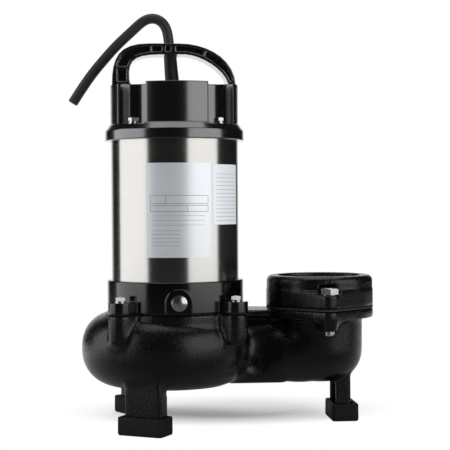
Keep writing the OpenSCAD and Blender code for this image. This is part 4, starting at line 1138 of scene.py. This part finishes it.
def floor_finish(name, colour):
    """Pale and lit near the pump, and fading to the white surround far from it."""
    tree, shader = finish(name, colour, 0.6)
    film = use_effect(tree, "Handled film", Size=2.0)
    vary_roughness(tree, shader, film["Patches"], 0.55, 0.65)
    shader["Specular IOR Level"].default_value = 0.2
    place = tree.nodes.new("ShaderNodeTexCoord").outputs["Object"]
    lit = tree.nodes.new("ShaderNodeMapping")
    lit.vector_type = "TEXTURE"
    lit.inputs["Location"].default_value = LIT_MIDDLE
    lit.inputs["Scale"].default_value = (1.0, LIT_DEPTH, 1)
    feed(tree, place, lit.inputs["Vector"])
    far = tree.nodes.new("ShaderNodeVectorMath")
    far.operation = "LENGTH"
    feed(tree, lit.outputs["Vector"], far.inputs[0])
    from_camera, mirrored = ray_masks(tree)
    front = stretch_range(tree, split(tree, place)["Y"], *DIM_SPAN, 1.0, 0.0)
    grey = white_light(tree, "ShaderNodeEmission", DIM_FLOOR)
    lit_floor = tree.nodes["Principled BSDF"].outputs[0]
    dimmed = mix_shaders(tree, calculate(tree, "MULTIPLY", mirrored, front), lit_floor, grey)
    clear = stretch_range(tree, far.outputs["Value"], *LIT_SPAN, LEAST_WHITE, 1.0)
    white = white_light(tree, "ShaderNodeEmission", 1)
    both = mix_shaders(tree, calculate(tree, "MULTIPLY", from_camera, clear), dimmed, white)
    feed(tree, both, tree.nodes["Material Output"].inputs["Surface"])


def add_floor(colour):
    """The floor, a disc: point (i, j) stands at radius i in direction j, counted clockwise."""
    grid = round_grid((0, 0), FLOOR_RADII[:, None], -turn_steps(FLOOR_STEPS)[None, :], 0.0)
    mesh = grid_mesh("studio_floor", [(grid, (False, True), (True, False))])
    floor_finish("Studio floor", colour)
    mesh.materials.append(bpy.data.materials["Studio floor"])
    new_object("studio_floor", mesh)


def add_surround(scene):
    """An even light all round that the camera sees as white, and mirrored rays only behind."""
    world = bpy.data.worlds.new("Surround")
    scene.world = world
    world.use_nodes = True
    tree = world.node_tree
    tree.nodes.clear()
    from_camera, mirrored = ray_masks(tree)
    ahead = tree.nodes.new("ShaderNodeTexCoord").outputs["Generated"]
    behind = stretch_range(tree, split(tree, ahead)["Y"], *BEHIND_SPAN, 0.0, 1.0)
    seen = calculate(tree, "MAXIMUM", from_camera, calculate(tree, "MULTIPLY", mirrored, behind))
    level = stretch_range(tree, mirrored, 0.0, 1.0, EVEN_LIGHT, DIM_ROOM)
    room = white_light(tree, "ShaderNodeBackground", level)
    white = white_light(tree, "ShaderNodeBackground", 1)
    out = tree.nodes.new("ShaderNodeOutputWorld")
    feed(tree, mix_shaders(tree, seen, room, white), out.inputs["Surface"])


def add_softbox(name, place, wide, tall, strength):
    """An area lamp, whose energy is its strength times pi times its area."""
    light = bpy.data.lights.new(name, "AREA")
    light.shape = "RECTANGLE"
    light.size, light.size_y = wide, tall
    light.energy = strength * math.pi * wide * tall
    lamp = new_object(name, light)
    lamp.location = place
    return lamp


class PUMP_OT_studio(bpy.types.Operator):
    """Adds the pale floor, the white surround and the soft boxes"""

    bl_idname = "pump.studio"
    bl_label = "Studio"

    def execute(self, context):
        scene = context.scene
        scene.view_settings.view_transform = "Standard"
        add_floor(scene.pump_colours.floor)
        add_surround(scene)
        for name, (turn, away, strength, wide) in UPRIGHT_BOXES.items():
            angle = math.radians(turn + FRONT_TURN)
            out = Vector((math.sin(angle), -math.cos(angle), 0))
            place = Vector((*MOTOR, BOX_HEIGHT)) + away * out
            lamp = add_softbox(name, place, wide, BOX_TALL, strength)
            lamp.rotation_euler = (-out).to_track_quat("-Z", "Y").to_euler()
        add_softbox("top_softbox", TOP_PLACE, TOP_SIZE, TOP_SIZE, TOP_STRENGTH)
        return {"FINISHED"}


# ---- Add-on ----


STEPS = (
    PUMP_OT_camera, PUMP_OT_finishes, PUMP_OT_cord, PUMP_OT_castings, PUMP_OT_discharge_thread,
    PUMP_OT_bolts, PUMP_OT_boots, PUMP_OT_labels, PUMP_OT_studio,
)
GROUPS = {"pump_sizes": PumpSizes, "pump_colours": PumpColours}


class PUMP_PT_panel(bpy.types.Panel):
    """The pump's sizes, colours and pieces"""

    bl_idname = "PUMP_PT_panel"
    bl_label = "Pump"
    bl_space_type = "VIEW_3D"
    bl_region_type = "UI"
    bl_category = "Pump"

    def draw(self, context):
        for name, kind in GROUPS.items():
            for setting in kind.__annotations__:
                self.layout.prop(getattr(context.scene, name), setting)
        for step in STEPS:
            self.layout.operator(step.bl_idname)


def register():
    """Registers the classes and the scene's settings."""
    for kind in (*GROUPS.values(), *STEPS, PUMP_PT_panel):
        bpy.utils.register_class(kind)
    for name, kind in GROUPS.items():
        setattr(bpy.types.Scene, name, bpy.props.PointerProperty(type=kind))


def unregister():
    """Undoes what register does."""
    for name in GROUPS:
        delattr(bpy.types.Scene, name)
    for kind in (PUMP_PT_panel, *reversed(STEPS), *GROUPS.values()):
        bpy.utils.unregister_class(kind)


def main():
    """Registers the classes and makes every piece in order."""
    register()
    for step in STEPS:
        getattr(bpy.ops.pump, step.bl_idname.split(".")[1])()


if __name__ == "__main__":
    main()
